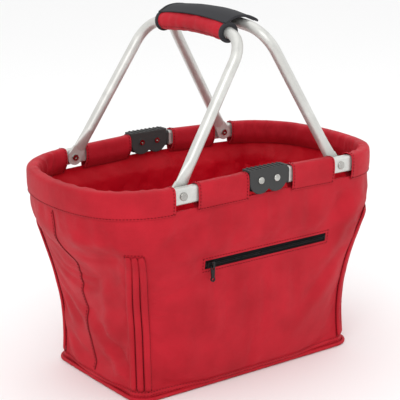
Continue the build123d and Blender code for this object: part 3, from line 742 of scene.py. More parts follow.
@dataclass
class FabricBody:
    """Outer walls, pocket pouch, foam and lining: layers that follow one draped sheet."""

    quarter_columns: int = 48
    rows: int = 56
    folds: tuple[Fold, ...] = (
        Fold(Face.FRONT, (-0.125, 0.190), (-0.060, 0.070), 0.018, 0.0035),
        Fold(Face.FRONT, (-0.165, 0.214), (-0.090, 0.236), 0.011, -0.0055),
        Fold(Face.FRONT, (-0.150, 0.226), (-0.105, 0.170), 0.010, 0.0040),
        Fold(Face.FRONT, (-0.110, 0.200), (-0.040, 0.150), 0.009, -0.0030),
        Fold(Face.FRONT, (-0.080, 0.240), (-0.045, 0.200), 0.010, -0.0030),
        Fold(Face.FRONT, (0.150, 0.245), (0.090, 0.178), 0.010, -0.0060),
        Fold(Face.FRONT, (0.165, 0.225), (0.120, 0.150), 0.012, 0.0040),
        Fold(Face.FRONT, (0.145, 0.150), (0.080, 0.085), 0.010, -0.0045),
        Fold(Face.FRONT, (0.140, 0.120), (0.060, 0.050), 0.014, 0.0030),
        Fold(Face.FRONT, (-0.040, 0.150), (0.060, 0.060), 0.026, 0.0028),
        Fold(Face.FRONT, (-0.120, 0.100), (-0.105, 0.030), 0.012, 0.0035),
        Fold(Face.LEFT, (-0.108, 0.205), (-0.010, 0.186), 0.009, -0.0085),
        Fold(Face.LEFT, (-0.105, 0.222), (-0.030, 0.214), 0.010, 0.0060),
        Fold(Face.LEFT, (-0.090, 0.176), (-0.020, 0.148), 0.010, -0.0050),
        Fold(Face.LEFT, (-0.060, 0.168), (-0.045, 0.060), 0.012, 0.0050),
        Fold(Face.LEFT, (0.095, 0.200), (0.012, 0.178), 0.009, -0.0080),
        Fold(Face.LEFT, (0.070, 0.110), (0.010, 0.070), 0.010, -0.0060),
        Fold(Face.LEFT, (0.085, 0.075), (0.020, 0.040), 0.010, 0.0045),
        Fold(Face.LEFT, (-0.012, 0.100), (-0.080, 0.035), 0.010, -0.0065),
        Fold(Face.LEFT, (-0.020, 0.060), (-0.085, 0.020), 0.009, 0.0045),
        Fold(Face.RIGHT, (-0.100, 0.205), (-0.012, 0.184), 0.010, -0.0080),
        Fold(Face.RIGHT, (0.095, 0.198), (0.015, 0.176), 0.010, -0.0075),
        Fold(Face.RIGHT, (0.060, 0.160), (0.045, 0.060), 0.012, 0.0050),
        Fold(Face.RIGHT, (0.015, 0.090), (0.080, 0.040), 0.011, -0.0055),
        Fold(Face.RIGHT, (-0.080, 0.100), (-0.020, 0.050), 0.011, -0.0050),
        Fold(Face.BACK, (-0.160, 0.220), (-0.080, 0.170), 0.012, -0.0060),
        Fold(Face.BACK, (0.160, 0.215), (0.070, 0.160), 0.012, -0.0060),
        Fold(Face.BACK, (-0.120, 0.150), (-0.050, 0.080), 0.014, 0.0040),
        Fold(Face.BACK, (-0.010, 0.190), (0.070, 0.070), 0.022, 0.0035),
    )
    hold_ribs: tuple[float, float] = (0.022, 0.212)
    rib_half: float = 0.0150
    wrinkle: float = 0.0016
    zip_x: float = 0.010
    zip_z: float = 0.179
    zip_half: float = 0.102
    zip_gap: float = 0.012
    zip_hold: float = 0.010
    shell: float = 0.0010
    frames: int = 22
    growth: float = 0.010
    limit: float = 0.008
    pouch_half: float = 0.108
    pouch_bottom: float = 0.070
    pouch_top: float = 0.196
    keep: float = 0.14
    sheet: bmesh.types.BMesh | None = None

    def place(self, row: int, column: int) -> Vector:
        """A point of the sheet before it drapes."""
        u = column / self.quarter_columns
        return BODY.point(u, self.height_of(row, u))

    def crease(self, at: Vector) -> Vector:
        """How far the folds and small wrinkles move a point of the draped sheet."""
        free = ease(0.0, 0.020, RIM.level(at.x) - BODY.tuck - at.z) * ease(0.0, 0.016, at.z)
        if at.y < 0:
            off = max(abs(at.x - self.zip_x) - self.zip_half, abs(at.z - self.zip_z) - self.zip_gap / 2)
            free *= ease(0.006, 0.026, off)
        move = Vector((0, 0, 0))
        for fold in self.folds:
            way_x, way_y = fold.face.value
            facing = at.y * way_y if way_y else at.x * way_x
            wide = ease(0.190, 0.160, abs(at.x)) if way_y else ease(0.120, 0.095, abs(at.y))
            if facing > 0.08:
                out = wide * fold.depth_at(at.x if way_y else at.y, at.z)
                move += Vector((way_x * out, way_y * out, 0))
        slanted = Vector((at.x + 0.5 * at.z, at.y + 0.5 * at.z, (at.z - 0.4 * at.x) * 0.35))
        ridge = max(0.0, 1 - abs(ripple(slanted, 0.032, 11.0)) * 4.0) ** 2
        high = 0.35 + 0.65 * ease(0.10, 0.19, at.z)
        out = Vector((at.x, at.y, 0)).normalized() * (ridge * high * self.wrinkle)
        return (move + out) * free

    def height_of(self, row: int, u: float) -> float:
        """Height of a row where it passes a place round the body."""
        return BODY.top(u) * row / (self.rows - 1)

    def held(self, at: Vector) -> float:
        """How firmly a point is held while the sheet drapes, from 0 to 1."""
        half_length, half_width, corner = through(BODY.knots, at.z)
        if at.z < 0.004 or at.z > RIM.level(at.x) - BODY.tuck - 0.004:
            return 1.0
        away = Vector((abs(at.x) - half_length + corner, abs(at.y) - half_width + corner))
        off_rib = abs(math.atan2(away.y, away.x) - math.pi / 4) * corner
        if self.hold_ribs[0] < at.z < self.hold_ribs[1] and min(away) > -0.002 and off_rib < self.rib_half:
            return 1.0
        reach = self.zip_half + self.zip_hold, self.zip_gap / 2 + self.zip_hold
        if at.y < 0 and abs(at.x - self.zip_x) < reach[0] and abs(at.z - self.zip_z) < reach[1]:
            return 1.0
        return 0.06

    def drape(self) -> None:
        """Make the sheet, let it settle as cloth between what holds it, and refine it."""
        count = 4 * self.quarter_columns + 1
        bm = loft(self.rows, count, self.place, ring=True)
        face_outwards(bm, Vector((0, 0, 0.13)))
        for v in bm.verts:
            if abs(v.co.x) < 1e-5:
                v.co.x = 0
        bm = self._settle(bm)
        moves = [(v, self.crease(v.co)) for v in bm.verts]
        for v, move in moves:
            v.co += move * (1 - self.held(v.co) ** 4)
            if abs(v.co.x) < 1e-4:
                v.co.x = 0
        self.sheet = refine(bm, 1)
        self.sheet.normal_update()

    def _settle(self, bm: bmesh.types.BMesh) -> bmesh.types.BMesh:
        """Run the cloth simulation on the sheet and cap how far it moves."""
        before = [v.co.copy() for v in bm.verts]
        cloth = to_object("draping", bm)
        group = cloth.vertex_groups.new(name="held")
        for i, at in enumerate(before):
            group.add([i], self.held(at), "REPLACE")
        drape = cloth.modifiers.new("drape", "CLOTH")
        settings = drape.settings
        settings.quality = 6
        settings.mass = 0.25
        settings.air_damping = 2.0
        settings.tension_stiffness = settings.compression_stiffness = 18
        settings.shear_stiffness = 6
        settings.bending_stiffness = 0.6
        settings.vertex_group_mass = group.name
        settings.pin_stiffness = 1.0
        settings.shrink_min = -self.growth
        settings.effector_weights.gravity = 0.7
        drape.point_cache.frame_end = self.frames
        for number in range(1, self.frames + 1):
            bpy.context.scene.frame_set(number)
        moved = cloth.evaluated_get(bpy.context.evaluated_depsgraph_get()).data
        bm = bmesh.new()
        bm.from_mesh(cloth.data)
        bm.verts.ensure_lookup_table()
        for v, start, now in zip(bm.verts, before, moved.vertices):
            step = now.co - start
            if step.length > self.limit:
                step *= self.limit / step.length
            v.co = start + step
            if abs(start.x) < 1e-5:
                v.co.x = 0
        bpy.data.objects.remove(cloth)
        bpy.context.scene.frame_set(1)
        return bm

    def with_slit(self) -> bmesh.types.BMesh:
        """A copy of the sheet with the zip's slit cut out of the front."""
        bm = self.sheet.copy()
        x, z, half, tall = self.zip_x, self.zip_z, self.zip_half, self.zip_gap / 2
        for co, no in (
            ((x - half, 0, z), (1, 0, 0)), ((x + half, 0, z), (1, 0, 0)),
            ((x, 0, z - tall), (0, 0, 1)), ((x, 0, z + tall), (0, 0, 1)),
        ):
            near = [
                f for f in bm.faces
                if f.calc_center_median().y < -0.1
                and abs(f.calc_center_median().x - x) < half + 0.02
                and abs(f.calc_center_median().z - z) < tall + 0.02
            ]
            edges = {e for f in near for e in f.edges}
            verts = {v for f in near for v in f.verts}
            bmesh.ops.bisect_plane(bm, geom=[*verts, *edges, *near], dist=1e-5, plane_co=co, plane_no=no)
        inside = [
            f for f in bm.faces
            if f.calc_center_median().y < -0.1
            and abs(f.calc_center_median().x - x) < half
            and abs(f.calc_center_median().z - z) < tall
        ]
        bmesh.ops.delete(bm, geom=inside, context="FACES")
        return bm

    def layer(
        self, name: str, source: bmesh.types.BMesh, depth: Callable[[Vector], float], thickness: float,
        finish: Finish, nodes: dict[Side, Sequence[str]],
    ) -> list[bpy.types.Object]:
        """Make one layer of the body as its two halves.

        Args:
            name: the layer's name.
            source: the sheet that it follows, which is freed.
            depth: how far inside the sheet it lies at a place.
            thickness: its own thickness, inwards.
            finish: its finish.
            nodes: the CAD nodes that each half stands for.

        Returns:
            The two pieces.
        """
        push(source, lambda at: -depth(at))
        made = []
        for side in Side:
            half = cut_half(source, side)
            piece = to_object(f"{name}_{side.label}", half)
            thicken(piece, thickness)
            dress(piece, finish)
            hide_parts(*nodes[side])
            fold_with(piece, side, self.keep)
            made.append(piece)
            LOG.info("made %s with %d points", piece.name, len(piece.data.vertices))
        source.free()
        return made

    def build(self) -> None:
        """Drape the sheet and make every layer that follows it."""
        self.drape()
        self.layer(
            "outer_wall", self.with_slit(), lambda at: 0.0, self.shell, POLYESTER,
            {side: ("shell_front", "shell_back", f"shell_{side.label}") for side in Side},
        )
        self.layer("lining_wall", self._lining(), self._lining_depth, 0.0007, LINING,
                   {side: ("lining_wall",) for side in Side})
        foam = self.layer("wall_foam", self._between(0.009, 0.236), lambda at: 0.0034, 0.0028, FOAM,
                          {side: ("insulation_wall",) for side in Side})
        self.layer("pocket_pouch", self._pouch(), lambda at: 0.0017, 0.0008, POUCH,
                   {side: ("pocket_pouch",) for side in Side})

    def _between(self, low: float, high: float) -> bmesh.types.BMesh:
        """A copy of the sheet between two heights."""
        bm = self.sheet.copy()
        gone = [f for f in bm.faces if not low < f.calc_center_median().z < high]
        bmesh.ops.delete(bm, geom=gone, context="FACES")
        return bm

    def _lining(self) -> bmesh.types.BMesh:
        """The sheet that the lining follows, from the floor to its top edge."""
        bm = self._between(0.008, 1.0)
        return bm

    @staticmethod
    def _lining_depth(at: Vector) -> float:
        """The lining lies inside the foam and closes up to the wall under the sleeves, with loose folds."""
        below = RIM.level(at.x) - BODY.tuck - at.z
        gathered = ease(0.004, 0.030, below)
        loose = max(0.0, ripple(Vector((at.x, at.y, at.z * 0.3)), 0.038, 3.0)) * 0.010
        small = max(0.0, ripple(at, 0.013, 8.0)) * 0.0016
        return 0.0018 + gathered * (0.0054 + loose + small)

    def _pouch(self) -> bmesh.types.BMesh:
        """The part of the sheet that the pocket's pouch hangs behind."""
        bm = self._between(self.pouch_bottom, self.pouch_top)
        gone = [
            f for f in bm.faces
            if f.calc_center_median().y > -0.1 or abs(f.calc_center_median().x - self.zip_x) > self.pouch_half
        ]
        bmesh.ops.delete(bm, geom=gone, context="FACES")
        return bm


def fold_with(piece: bpy.types.Object, side: Side, keep: float) -> bpy.types.Object:
    """Attach a soft piece of the bag to the bag's body and give it a mesh of its own."""
    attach(piece, "bag")
    side.fold
    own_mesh(piece)
    return piece


def on_wall(tree: BVHTree, at: Vector, out: Vector, lift: float = 0.0002) -> tuple[Vector, Vector]:
    """The place on the draped wall that a point faces, and the wall's normal there."""
    flat = out.normalized()
    spot, normal, _, _ = tree.ray_cast(at + flat * 0.05, -flat, 0.12)
    if spot is None:
        return at, flat
    if normal.dot(flat) < 0:
        normal = -normal
    return spot + normal * lift, normal


# ------------------------------------------------------------------ floor and piping


@dataclass(frozen=True)
class FloorLayer:
    """One flat layer of the floor."""

    name: str
    nodes: str
    inset: float
    bottom: float
    thickness: float
    finish: Finish
    gap: float = 0.0
    waves: float = 0.0


@dataclass
class Floor:
    """Base panel, stiffener boards, foam and lining, each in two halves that meet in the middle, where the basket
    folds.
    """

    rows: int = 40
    columns: int = 34
    keep: float = 0.14
    layers: tuple[FloorLayer, ...] = (
        FloorLayer("base_panel", "base_panel", 0.0011, 0.0, 0.0012, POLYESTER),
        FloorLayer("base_board", "base_board_{side}", 0.003, 0.0014, 0.0025, BOARD, gap=0.0005),
        FloorLayer("floor_foam", "insulation_floor", 0.0036, 0.0041, 0.0028, FOAM),
        FloorLayer("lining_floor", "lining_floor", 0.0074, 0.0073, 0.0008, LINING, waves=0.0022),
    )

    def build(self) -> None:
        """Make both halves of every layer."""
        for layer in self.layers:
            for side in Side:
                piece = self._half(layer, side)
                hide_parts(layer.nodes.format(side=side.label))
                fold_with(piece, side, self.keep)

    def _half(self, layer: FloorLayer, side: Side) -> bpy.types.Object:
        """One half of a layer, with a rounded outer edge and slightly softened borders."""
        half_length, half_width, corner = through(BODY.knots, layer.bottom)
        length, width = half_length - layer.inset, half_width - layer.inset
        radius = corner - layer.inset

        def place(row: int, column: int) -> Vector:
            """A point of the layer's upper face."""
            y = -width * math.cos(math.pi * row / (self.rows - 1))
            over = max(0.0, abs(y) - width + radius)
            reach = length - radius + math.sqrt(max(0.0, radius**2 - over**2))
            x = layer.gap + (reach - layer.gap) * column / (self.columns - 1)
            lift = max(0.0, ripple(Vector((x, y, 0)), 0.045, 2.0 + side.value)) * layer.waves
            border = ease(0, 0.012, reach - x) * ease(0, 0.012, width - abs(y))
            return Vector((side.value * x, y, layer.bottom + layer.thickness + lift * border))

        bm = loft(self.rows, self.columns, place)
        bm.normal_update()
        if sum(f.normal.z for f in bm.faces) < 0:
            bmesh.ops.reverse_faces(bm, faces=bm.faces)
        piece = to_object(f"{layer.name}_{side.label}", bm)
        thicken(piece, layer.thickness)
        return dress(piece, layer.finish)


@dataclass
class BasePiping:
    """Corded piping round the base seam, with the folded band and stitches above it."""

    radius: float = 0.0026
    stations: int = 150
    around: int = 10
    keep: float = 0.14
    band_low: float = 0.0042
    band_high: float = 0.0118

    def build(self, tree: BVHTree, stitching: Stitching) -> None:
        """Make the piping and the band of each half, and sew them on.

        Args:
            tree: the draped wall.
            stitching: where the stitches go.
        """
        for side in Side:
            start = 0.0 if side is Side.RIGHT else 2.0
            bm = loft(self.stations, self.around + 1, lambda r, c, s=start: self._cord(s, r, c), ring=True)
            bmesh.ops.holes_fill(bm, edges=[e for e in bm.edges if e.is_boundary], sides=self.around)
            bmesh.ops.recalc_face_normals(bm, faces=bm.faces)
            piece = dress(to_object(f"base_piping_{side.label}", bm), POLYESTER)
            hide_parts("base_piping")
            fold_with(piece, side, self.keep)
            band = loft(5, self.stations, lambda r, c, s=start: self._band(tree, s, r, c))
            face_outwards(band, Vector((0, 0, 0.02)))
            strip = dress(to_object(f"base_band_{side.label}", band), POLYESTER)
            thicken(strip, 0.0006, 0.0)
            fold_with(strip, side, self.keep)
            for height in (0.0066, 0.0108):
                line = []
                for number in range(self.stations):
                    at = self._band_at(tree, start + 2 * number / (self.stations - 1), height)
                    line.append((at[0] + at[1] * 0.0008, at[1]))
                stitching.run("base_stitches", side.label, line)

    def _cord(self, start: float, row: int, column: int) -> Vector:
        """A point of the piping's round skin."""
        u = start + 2 * row / (self.stations - 1)
        u_next, u_last = min(start + 2, u + 0.01), max(start, u - 0.01)
        centre = BODY.point(u, self.radius, -self.radius - 0.0001)
        ahead = (BODY.point(u_next, self.radius, -self.radius) - BODY.point(u_last, self.radius, -self.radius))
        out = ahead.normalized().cross(Vector((0, 0, 1)))
        if u in (start, start + 2):
            out = Vector((0, math.copysign(1, centre.y), 0))
        angle = 2 * math.pi * (column % self.around) / self.around
        swell = self.radius * (1 + 0.05 * ripple(centre, 0.012, 4.0))
        centre.z = self.radius + 0.0001
        return centre + (out * math.cos(angle) + Vector((0, 0, 1)) * math.sin(angle)) * min(swell, self.radius)

    def _band_at(self, tree: BVHTree, u: float, height: float) -> tuple[Vector, Vector]:
        """A place on the wall just above the base."""
        at = BODY.point(u, height)
        out = at - BODY.point(u, height, 0.01)
        return on_wall(tree, at, out)

    def _band(self, tree: BVHTree, start: float, row: int, column: int) -> Vector:
        """A point of the folded band that covers the base seam."""
        u = start + 2 * column / (self.stations - 1)
        height = self.band_low + (self.band_high - self.band_low) * row / 4
        at, normal = self._band_at(tree, u, height)
        if column in (0, self.stations - 1):
            at.x = 0
        return at + normal * (0.0003 + 0.0005 * math.sin(math.pi * row / 4))


# ------------------------------------------------------------------ corner tucks


@dataclass
class CornerTucks:
    """Three corded tucks at each corner, sewn down beside each cord and tacked at the top."""

    spacing: float = 0.0096
    half_width: float = 0.0047
    rise: float = 0.0031
    low: float = 0.013
    high: float = 0.207
    stations: int = 60
    around: int = 12
    keep: float = 0.14

    def build(self, stitching: Stitching) -> None:
        """Make the tucks of all four corners and their stitches."""
        for side in Side:
            for label, sign_y in (("front", -1), ("back", 1)):
                for number in (-1, 0, 1):
                    bm = loft(
                        self.stations, self.around + 1,
                        lambda r, c, n=number: self._skin(side.value, sign_y, n, r, c), ring=True,
                    )
                    bmesh.ops.holes_fill(bm, edges=[e for e in bm.edges if e.is_boundary], sides=self.around)
                    bmesh.ops.recalc_face_normals(bm, faces=bm.faces)
                    piece = to_object(f"corner_tuck_{label}_{side.label}_{number + 2}", bm)
                    dress(piece, POLYESTER)
                    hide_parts(f"corner_ribs_{label}_{side.label}")
                    fold_with(piece, side, self.keep)
                for number in (-1.5, -0.5, 0.5, 1.5):
                    line = [self._foot(side.value, sign_y, number, s / 80) for s in range(81)]
                    stitching.run("tuck_stitches", side.label, line)
                across = [self._foot(side.value, sign_y, n / 4, 1.0) for n in range(-6, 7)]
                stitching.run("tuck_stitches", side.label, [(p + Vector((0, 0, 0.002)), n) for p, n in across])

    def _foot(self, sign_x: int, sign_y: int, number: float, share: float) -> tuple[Vector, Vector]:
        """A point on the corner's surface at a tuck's number, and the normal there."""
        height = self.low + (self.high - self.low) * share
        half_length, half_width, corner = through(BODY.knots, height)
        angle = math.pi / 4 + number * self.spacing / corner * (1.0 - 0.12 * ease(0.7, 1, share))
        out = Vector((sign_x * math.cos(angle), sign_y * math.sin(angle), 0))
        centre = Vector((sign_x * (half_length - corner), sign_y * (half_width - corner), height))
        _, _, above = through(BODY.knots, height + 0.01)
        upper = Vector((sign_x * (through(BODY.knots, height + 0.01)[0] - above), 0, 0)).x - centre.x
        slope = (above - corner) + abs(upper) * math.cos(angle)
        normal = (out * 0.01 - Vector((0, 0, 1)) * slope).normalized()
        return centre + out * (corner + 0.0005), normal

    def _skin(self, sign_x: int, sign_y: int, number: int, row: int, column: int) -> Vector:
        """A point of one tuck's raised skin."""
        share = row / (self.stations - 1)
        foot, normal = self._foot(sign_x, sign_y, number, share)
        up = (self._foot(sign_x, sign_y, number, min(1, share + 0.02))[0]
              - self._foot(sign_x, sign_y, number, max(0, share - 0.02))[0]).normalized()
        across = normal.cross(up).normalized()
        angle = 2 * math.pi * (column % self.around) / self.around
        full = ease(-0.02, 0.03, share) * ease(1.02, 0.97, share)
        wobble = 1 + 0.10 * ripple(foot, 0.018, 5.0 + number)
        wide = self.half_width * (0.5 + 0.5 * full)
        high = self.rise * full * wobble * (1.0 if math.sin(angle) > 0 else 0.08)
        return foot + across * wide * math.cos(angle) + normal * (high * math.sin(angle) + 0.0004)


# ------------------------------------------------------------------ sleeves on the rim


@dataclass
class Sleeves:
    """Fabric tunnels round the rim tube: a long one round each end and two on each long side."""

    side_spans: tuple[Point, Point] = ((0.032, 0.109), (0.041, 0.116))
    end_starts: Point = (0.1425, 0.148)
    cloth: float = 0.0010
    keep: float = 0.74
    profile: tuple[Point, ...] = (
        (0.0062, -0.0228), (0.0070, -0.0195), (0.0078, -0.0140), (0.0081, -0.0080), (0.0081, 0.0000),
        (0.0079, 0.0065), (0.0067, 0.0106), (0.0038, 0.0124), (0.0000, 0.0127), (-0.0038, 0.0124),
        (-0.0067, 0.0106), (-0.0079, 0.0065), (-0.0079, 0.0000), (-0.0076, -0.0080), (-0.0048, -0.0150),
        (-0.0010, -0.0205), (0.0004, -0.0228),
    )
    steps: int = 3
    pucker: float = 0.0026
    thread_out: float = 0.0004

    def outline(self) -> list[Point]:
        """The section's points, from the outer hem over the tube to the inner hem."""
        last = len(self.profile) - 1
        knots = [(float(i), *p) for i, p in enumerate(self.profile)]
        return [tuple(through(knots, i / self.steps)) for i in range(last * self.steps + 1)]

    def route(self, side: Side, start: float, stop: float | None, way: int) -> list[tuple[Vector, Vector, float]]:
        """Stations along the rim.

        Args:
            side: which half of the rim.
            start: distance from the middle where the sleeve starts.
            stop: distance where it stops, or None to go round the end to the other long side.
            way: -1 for the front or 1 for the back.

        Returns:
            The tube's centre, the direction outwards from the basket, and how sharply the rim turns there.
        """
        first = RIM.share_at(start)
        last = RIM.share_at(stop) if stop else 1.0
        count = max(24, int((last - first) / 0.0085))
        shares = [(first + (last - first) * i / count, way) for i in range(count + 1)]
        if stop is None:
            shares += [(t, -way) for t, _ in reversed(shares[:-1])]
        stations = []
        for t, y_way in shares:
            x, y = RIM.quarter(t)
            inner = RIM.quarter(t, 0.01)
            out = Vector((side.value * (x - inner[0]), y_way * (y - inner[1]), 0)).normalized()
            bend = ease(RIM.side_share - 0.05, RIM.side_share + 0.06, t) * (1 - 0.5 * ease(0.8, 0.95, t))
            stations.append((Vector((side.value * x, y_way * y, RIM.level(x))), out, bend))
        return stations

    def build(self, stitching: Stitching) -> None:
        """Make all six sleeves and their stitches."""
        for side, end_start, span in zip(Side, self.end_starts, self.side_spans):
            self._sleeve(f"end_sleeve_{side.label}", f"end_sleeve_{side.label}", side,
                         self.route(side, end_start, None, -1), stitching)
            for label, way in (("front", -1), ("back", 1)):
                self._sleeve(f"side_sleeve_{label}_{side.label}", f"side_sleeves_{side.label}", side,
                             self.route(side, *span, way), stitching)

    def _sleeve(
        self, name: str, node: str, side: Side, stations: list[tuple[Vector, Vector, float]], stitching: Stitching
    ) -> None:
        """Make one sleeve along its stations, and sew its hem and its two ends."""
        outline = self.outline()
        travelled = [0.0]
        for (a, _, _), (b, _, _) in zip(stations, stations[1:]):
            travelled.append(travelled[-1] + (b - a).length)
        total = travelled[-1]
        seed = 3.0 * len(name) + side.value

        def place(row: int, column: int) -> Vector:
            """A point of the sleeve's skin."""
            centre, out, bend = stations[row]
            across, up = outline[column]
            around = column / (len(outline) - 1)
            inner = ease(0.45, 0.62, around)
            s = travelled[row]
            ridge = 1 - abs(noise.noise(Vector((s / 0.021, around * 1.4, seed))) * 2.2)
            fold = max(0.0, ridge) ** 2 * (0.15 + bend) * (0.12 + 0.95 * inner)
            hem = ease(0.0, 0.06, around) * ease(1.0, 0.94, around)
            puff = 0.0011 * (ease(0.012, 0.0, s) + ease(0.012, 0.0, total - s))
            swell = self.pucker * fold * (0.3 + 0.7 * hem) + puff
            slack = 0.0005 * noise.noise(Vector((s / 0.03, around * 3, seed + 7)))
            way = Vector((across, up)).normalized()
            return centre + out * (across + way.x * (swell + slack)) + Vector((0, 0, up + max(0, way.y) * swell * 0.6))

        bm = loft(len(stations), len(outline), place)
        centre = sum((p for p, _, _ in stations), Vector()) / len(stations)
        self._face_out(bm, stations)
        bm = refine(bm, 1)
        piece = to_object(name, bm)
        thicken(piece, self.cloth)
        dress(piece, POLYESTER)
        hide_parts(node)
        self._ride(piece, side)
        LOG.info("made %s about %s", name, tuple(round(v, 3) for v in centre))
        last = len(outline) - 1
        for column, way in ((2, 1), (last - 2, -1)):
            line = [(place(r, column) + stations[r][1] * way * self.thread_out, stations[r][1] * way)
                    for r in range(len(stations))]
            stitching.run("sleeve_stitches", side.label, line)
        for row in (self._row_at(travelled, 0.0035), self._row_at(travelled, total - 0.0035)):
            out = stations[row][1]
            line = []
            for c in range(2, last - 1):
                across, up = outline[c]
                normal = (out * across + Vector((0, 0, max(up, 0)))).normalized()
                line.append((place(row, c) + normal * self.thread_out, normal))
            stitching.run("sleeve_stitches", side.label, line)

    @staticmethod
    def _row_at(travelled: list[float], distance: float) -> int:
        """The row nearest to a distance along the sleeve."""
        return min(range(len(travelled)), key=lambda r: abs(travelled[r] - distance))

    @staticmethod
    def _face_out(bm: bmesh.types.BMesh, stations: list[tuple[Vector, Vector, float]]) -> None:
        """Turn the sleeve's faces away from the tube that it covers."""
        bm.normal_update()
        bm.faces.ensure_lookup_table()
        first = bm.faces[0]
        centre = min((p for p, _, _ in stations), key=lambda p: (p - first.calc_center_median()).length)
        if first.normal.dot(first.calc_center_median() - centre) < 0:
            bmesh.ops.reverse_faces(bm, faces=bm.faces)

    def _ride(self, piece: bpy.types.Object, side: Side) -> None:
        """Attach a sleeve to its rim half, so that it turns with it, and give it a mesh of its own."""
        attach(piece, f"rim_{side.label}")
        side.fold
        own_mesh(piece)


# ------------------------------------------------------------------ zipped pocket


@dataclass
class ZipPocket:
    """Tapes, teeth and stops of the coil zip in the front wall."""

    body: FabricBody
    tooth_pitch: float = 0.0022
    tooth: tuple[float, float, float] = (0.0013, 0.0016, 0.0013)
    tape_start: float = 0.0002
    stitch_out: float = 0.0034
    keep: float = 0.14

    def at(self, along: float, up: float, out: float) -> Vector:
        """A place on the zip's plane: along and up from the zip's middle, out from the wall."""
        x = self.body.zip_x + along
        low = BODY.front(x, self.body.zip_z - 0.012)
        high = BODY.front(x, self.body.zip_z + 0.012)
        slope = Vector((0, high.y - low.y, high.z - low.z)).normalized()
        middle = BODY.front(x, self.body.zip_z)
        normal = Vector((1, 0, 0)).cross(slope)
        return Vector((x, middle.y, middle.z)) + slope * up + normal * out

    @property
    def normal(self) -> Vector:
        """The direction out of the front wall at the zip."""
        return (self.at(0, 0, 0.01) - self.at(0, 0, 0)).normalized()

    def build(self, stitching: Stitching) -> None:
        """Make the zip's own pieces and the box of stitches round it."""
        half = self.body.zip_half
        for side in Side:
            for label, way in (("upper", 1), ("lower", -1)):
                self._tape(side, label, way)
            self._teeth(side)
        self._stops()
        out, reach = self.body.zip_gap / 2 + self.stitch_out, half + self.stitch_out
        corners = [(-reach, -out), (reach, -out), (reach, out), (-reach, out), (-reach, -out)]
        for (x0, z0), (x1, z1) in zip(corners, corners[1:]):
            line = [
                (self.at(x0 + (x1 - x0) * i / 120, z0 + (z1 - z0) * i / 120, 0.0003), self.normal)
                for i in range(121)
            ]
            for side in Side:
                part = [p for p in line if p[0].x * side.value >= 0]
                if len(part) > 1:
                    stitching.run("zip_stitches", side.label, part)

    def _span(self, side: Side, margin: float) -> Point:
        """Where a half of the zip starts and stops, along the zip from its middle."""
        half = self.body.zip_half - margin
        return (-half, -self.body.zip_x) if side is Side.LEFT else (-self.body.zip_x, half)

    def _tape(self, side: Side, label: str, way: int) -> None:
        """One half of a woven tape, which dips towards the teeth."""
        start, stop = self._span(side, -0.001)
        edge = self.body.zip_gap / 2 + 0.002

        def place(row: int, column: int) -> Vector:
            """A point of the tape."""
            up = way * (self.tape_start + (edge - self.tape_start) * row / 5)
            bow = 0.0003 * math.sin(math.pi * row / 5)
            return self.at(start + (stop - start) * column / 40, up, -0.0005 - bow)

        bm = loft(6, 41, place)
        bm.normal_update()
        if sum(f.normal.y for f in bm.faces) > 0:
            bmesh.ops.reverse_faces(bm, faces=bm.faces)
        piece = to_object(f"zip_tape_{label}_{side.label}", bm)
        thicken(piece, 0.0005)
        dress(piece, TAPE)
        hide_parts(f"zip_tape_{label}")
        fold_with(piece, side, self.keep)

    def _teeth(self, side: Side) -> None:
        """The closed coil of one half: two rows of bent teeth that mesh in the middle."""
        start, stop = self._span(side, 0.004)
        bm = bmesh.new()
        for number in range(int((stop - start) / self.tooth_pitch)):
            for way in (1, -1):
                along = start + (number + (0.5 if way > 0 else 0.0) + 0.3) * self.tooth_pitch
                turn = Matrix.Translation(self.at(along, way * 0.0010, 0.0001))
                scale = Matrix.Diagonal((*self.tooth, 1))
                made = bmesh.ops.create_cube(bm, size=1, matrix=turn @ scale)
                edges = {e for v in made["verts"] for e in v.link_edges}
                bmesh.ops.bevel(bm, geom=list(edges), offset=0.0003, affect="EDGES", segments=1,
                                profile=0.5, material=-1)
        piece = dress(to_object(f"zip_teeth_{side.label}", bm), ZIP)
        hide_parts("zip_coil")
        fold_with(piece, side, self.keep)

    def _stops(self) -> None:
        """The metal stops at both ends of the teeth."""
        for side in Side:
            along = side.value * (self.body.zip_half - 0.0017)
            bm = bmesh.new()
            made = bmesh.ops.create_cube(
                bm, size=1,
                matrix=Matrix.Translation(self.at(along, 0, 0.0)) @ Matrix.Diagonal((0.0022, 0.0018, 0.0048, 1)),
            )
            edges = {e for v in made["verts"] for e in v.link_edges}
            bmesh.ops.bevel(bm, geom=list(edges), offset=0.0005, affect="EDGES", segments=2, profile=0.5, material=-1)
            piece = dress(to_object(f"zip_stop_{side.label}", bm), ZIP)
            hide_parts("zip_stops")
            fold_with(piece, side, self.keep)


# ------------------------------------------------------------------ grip


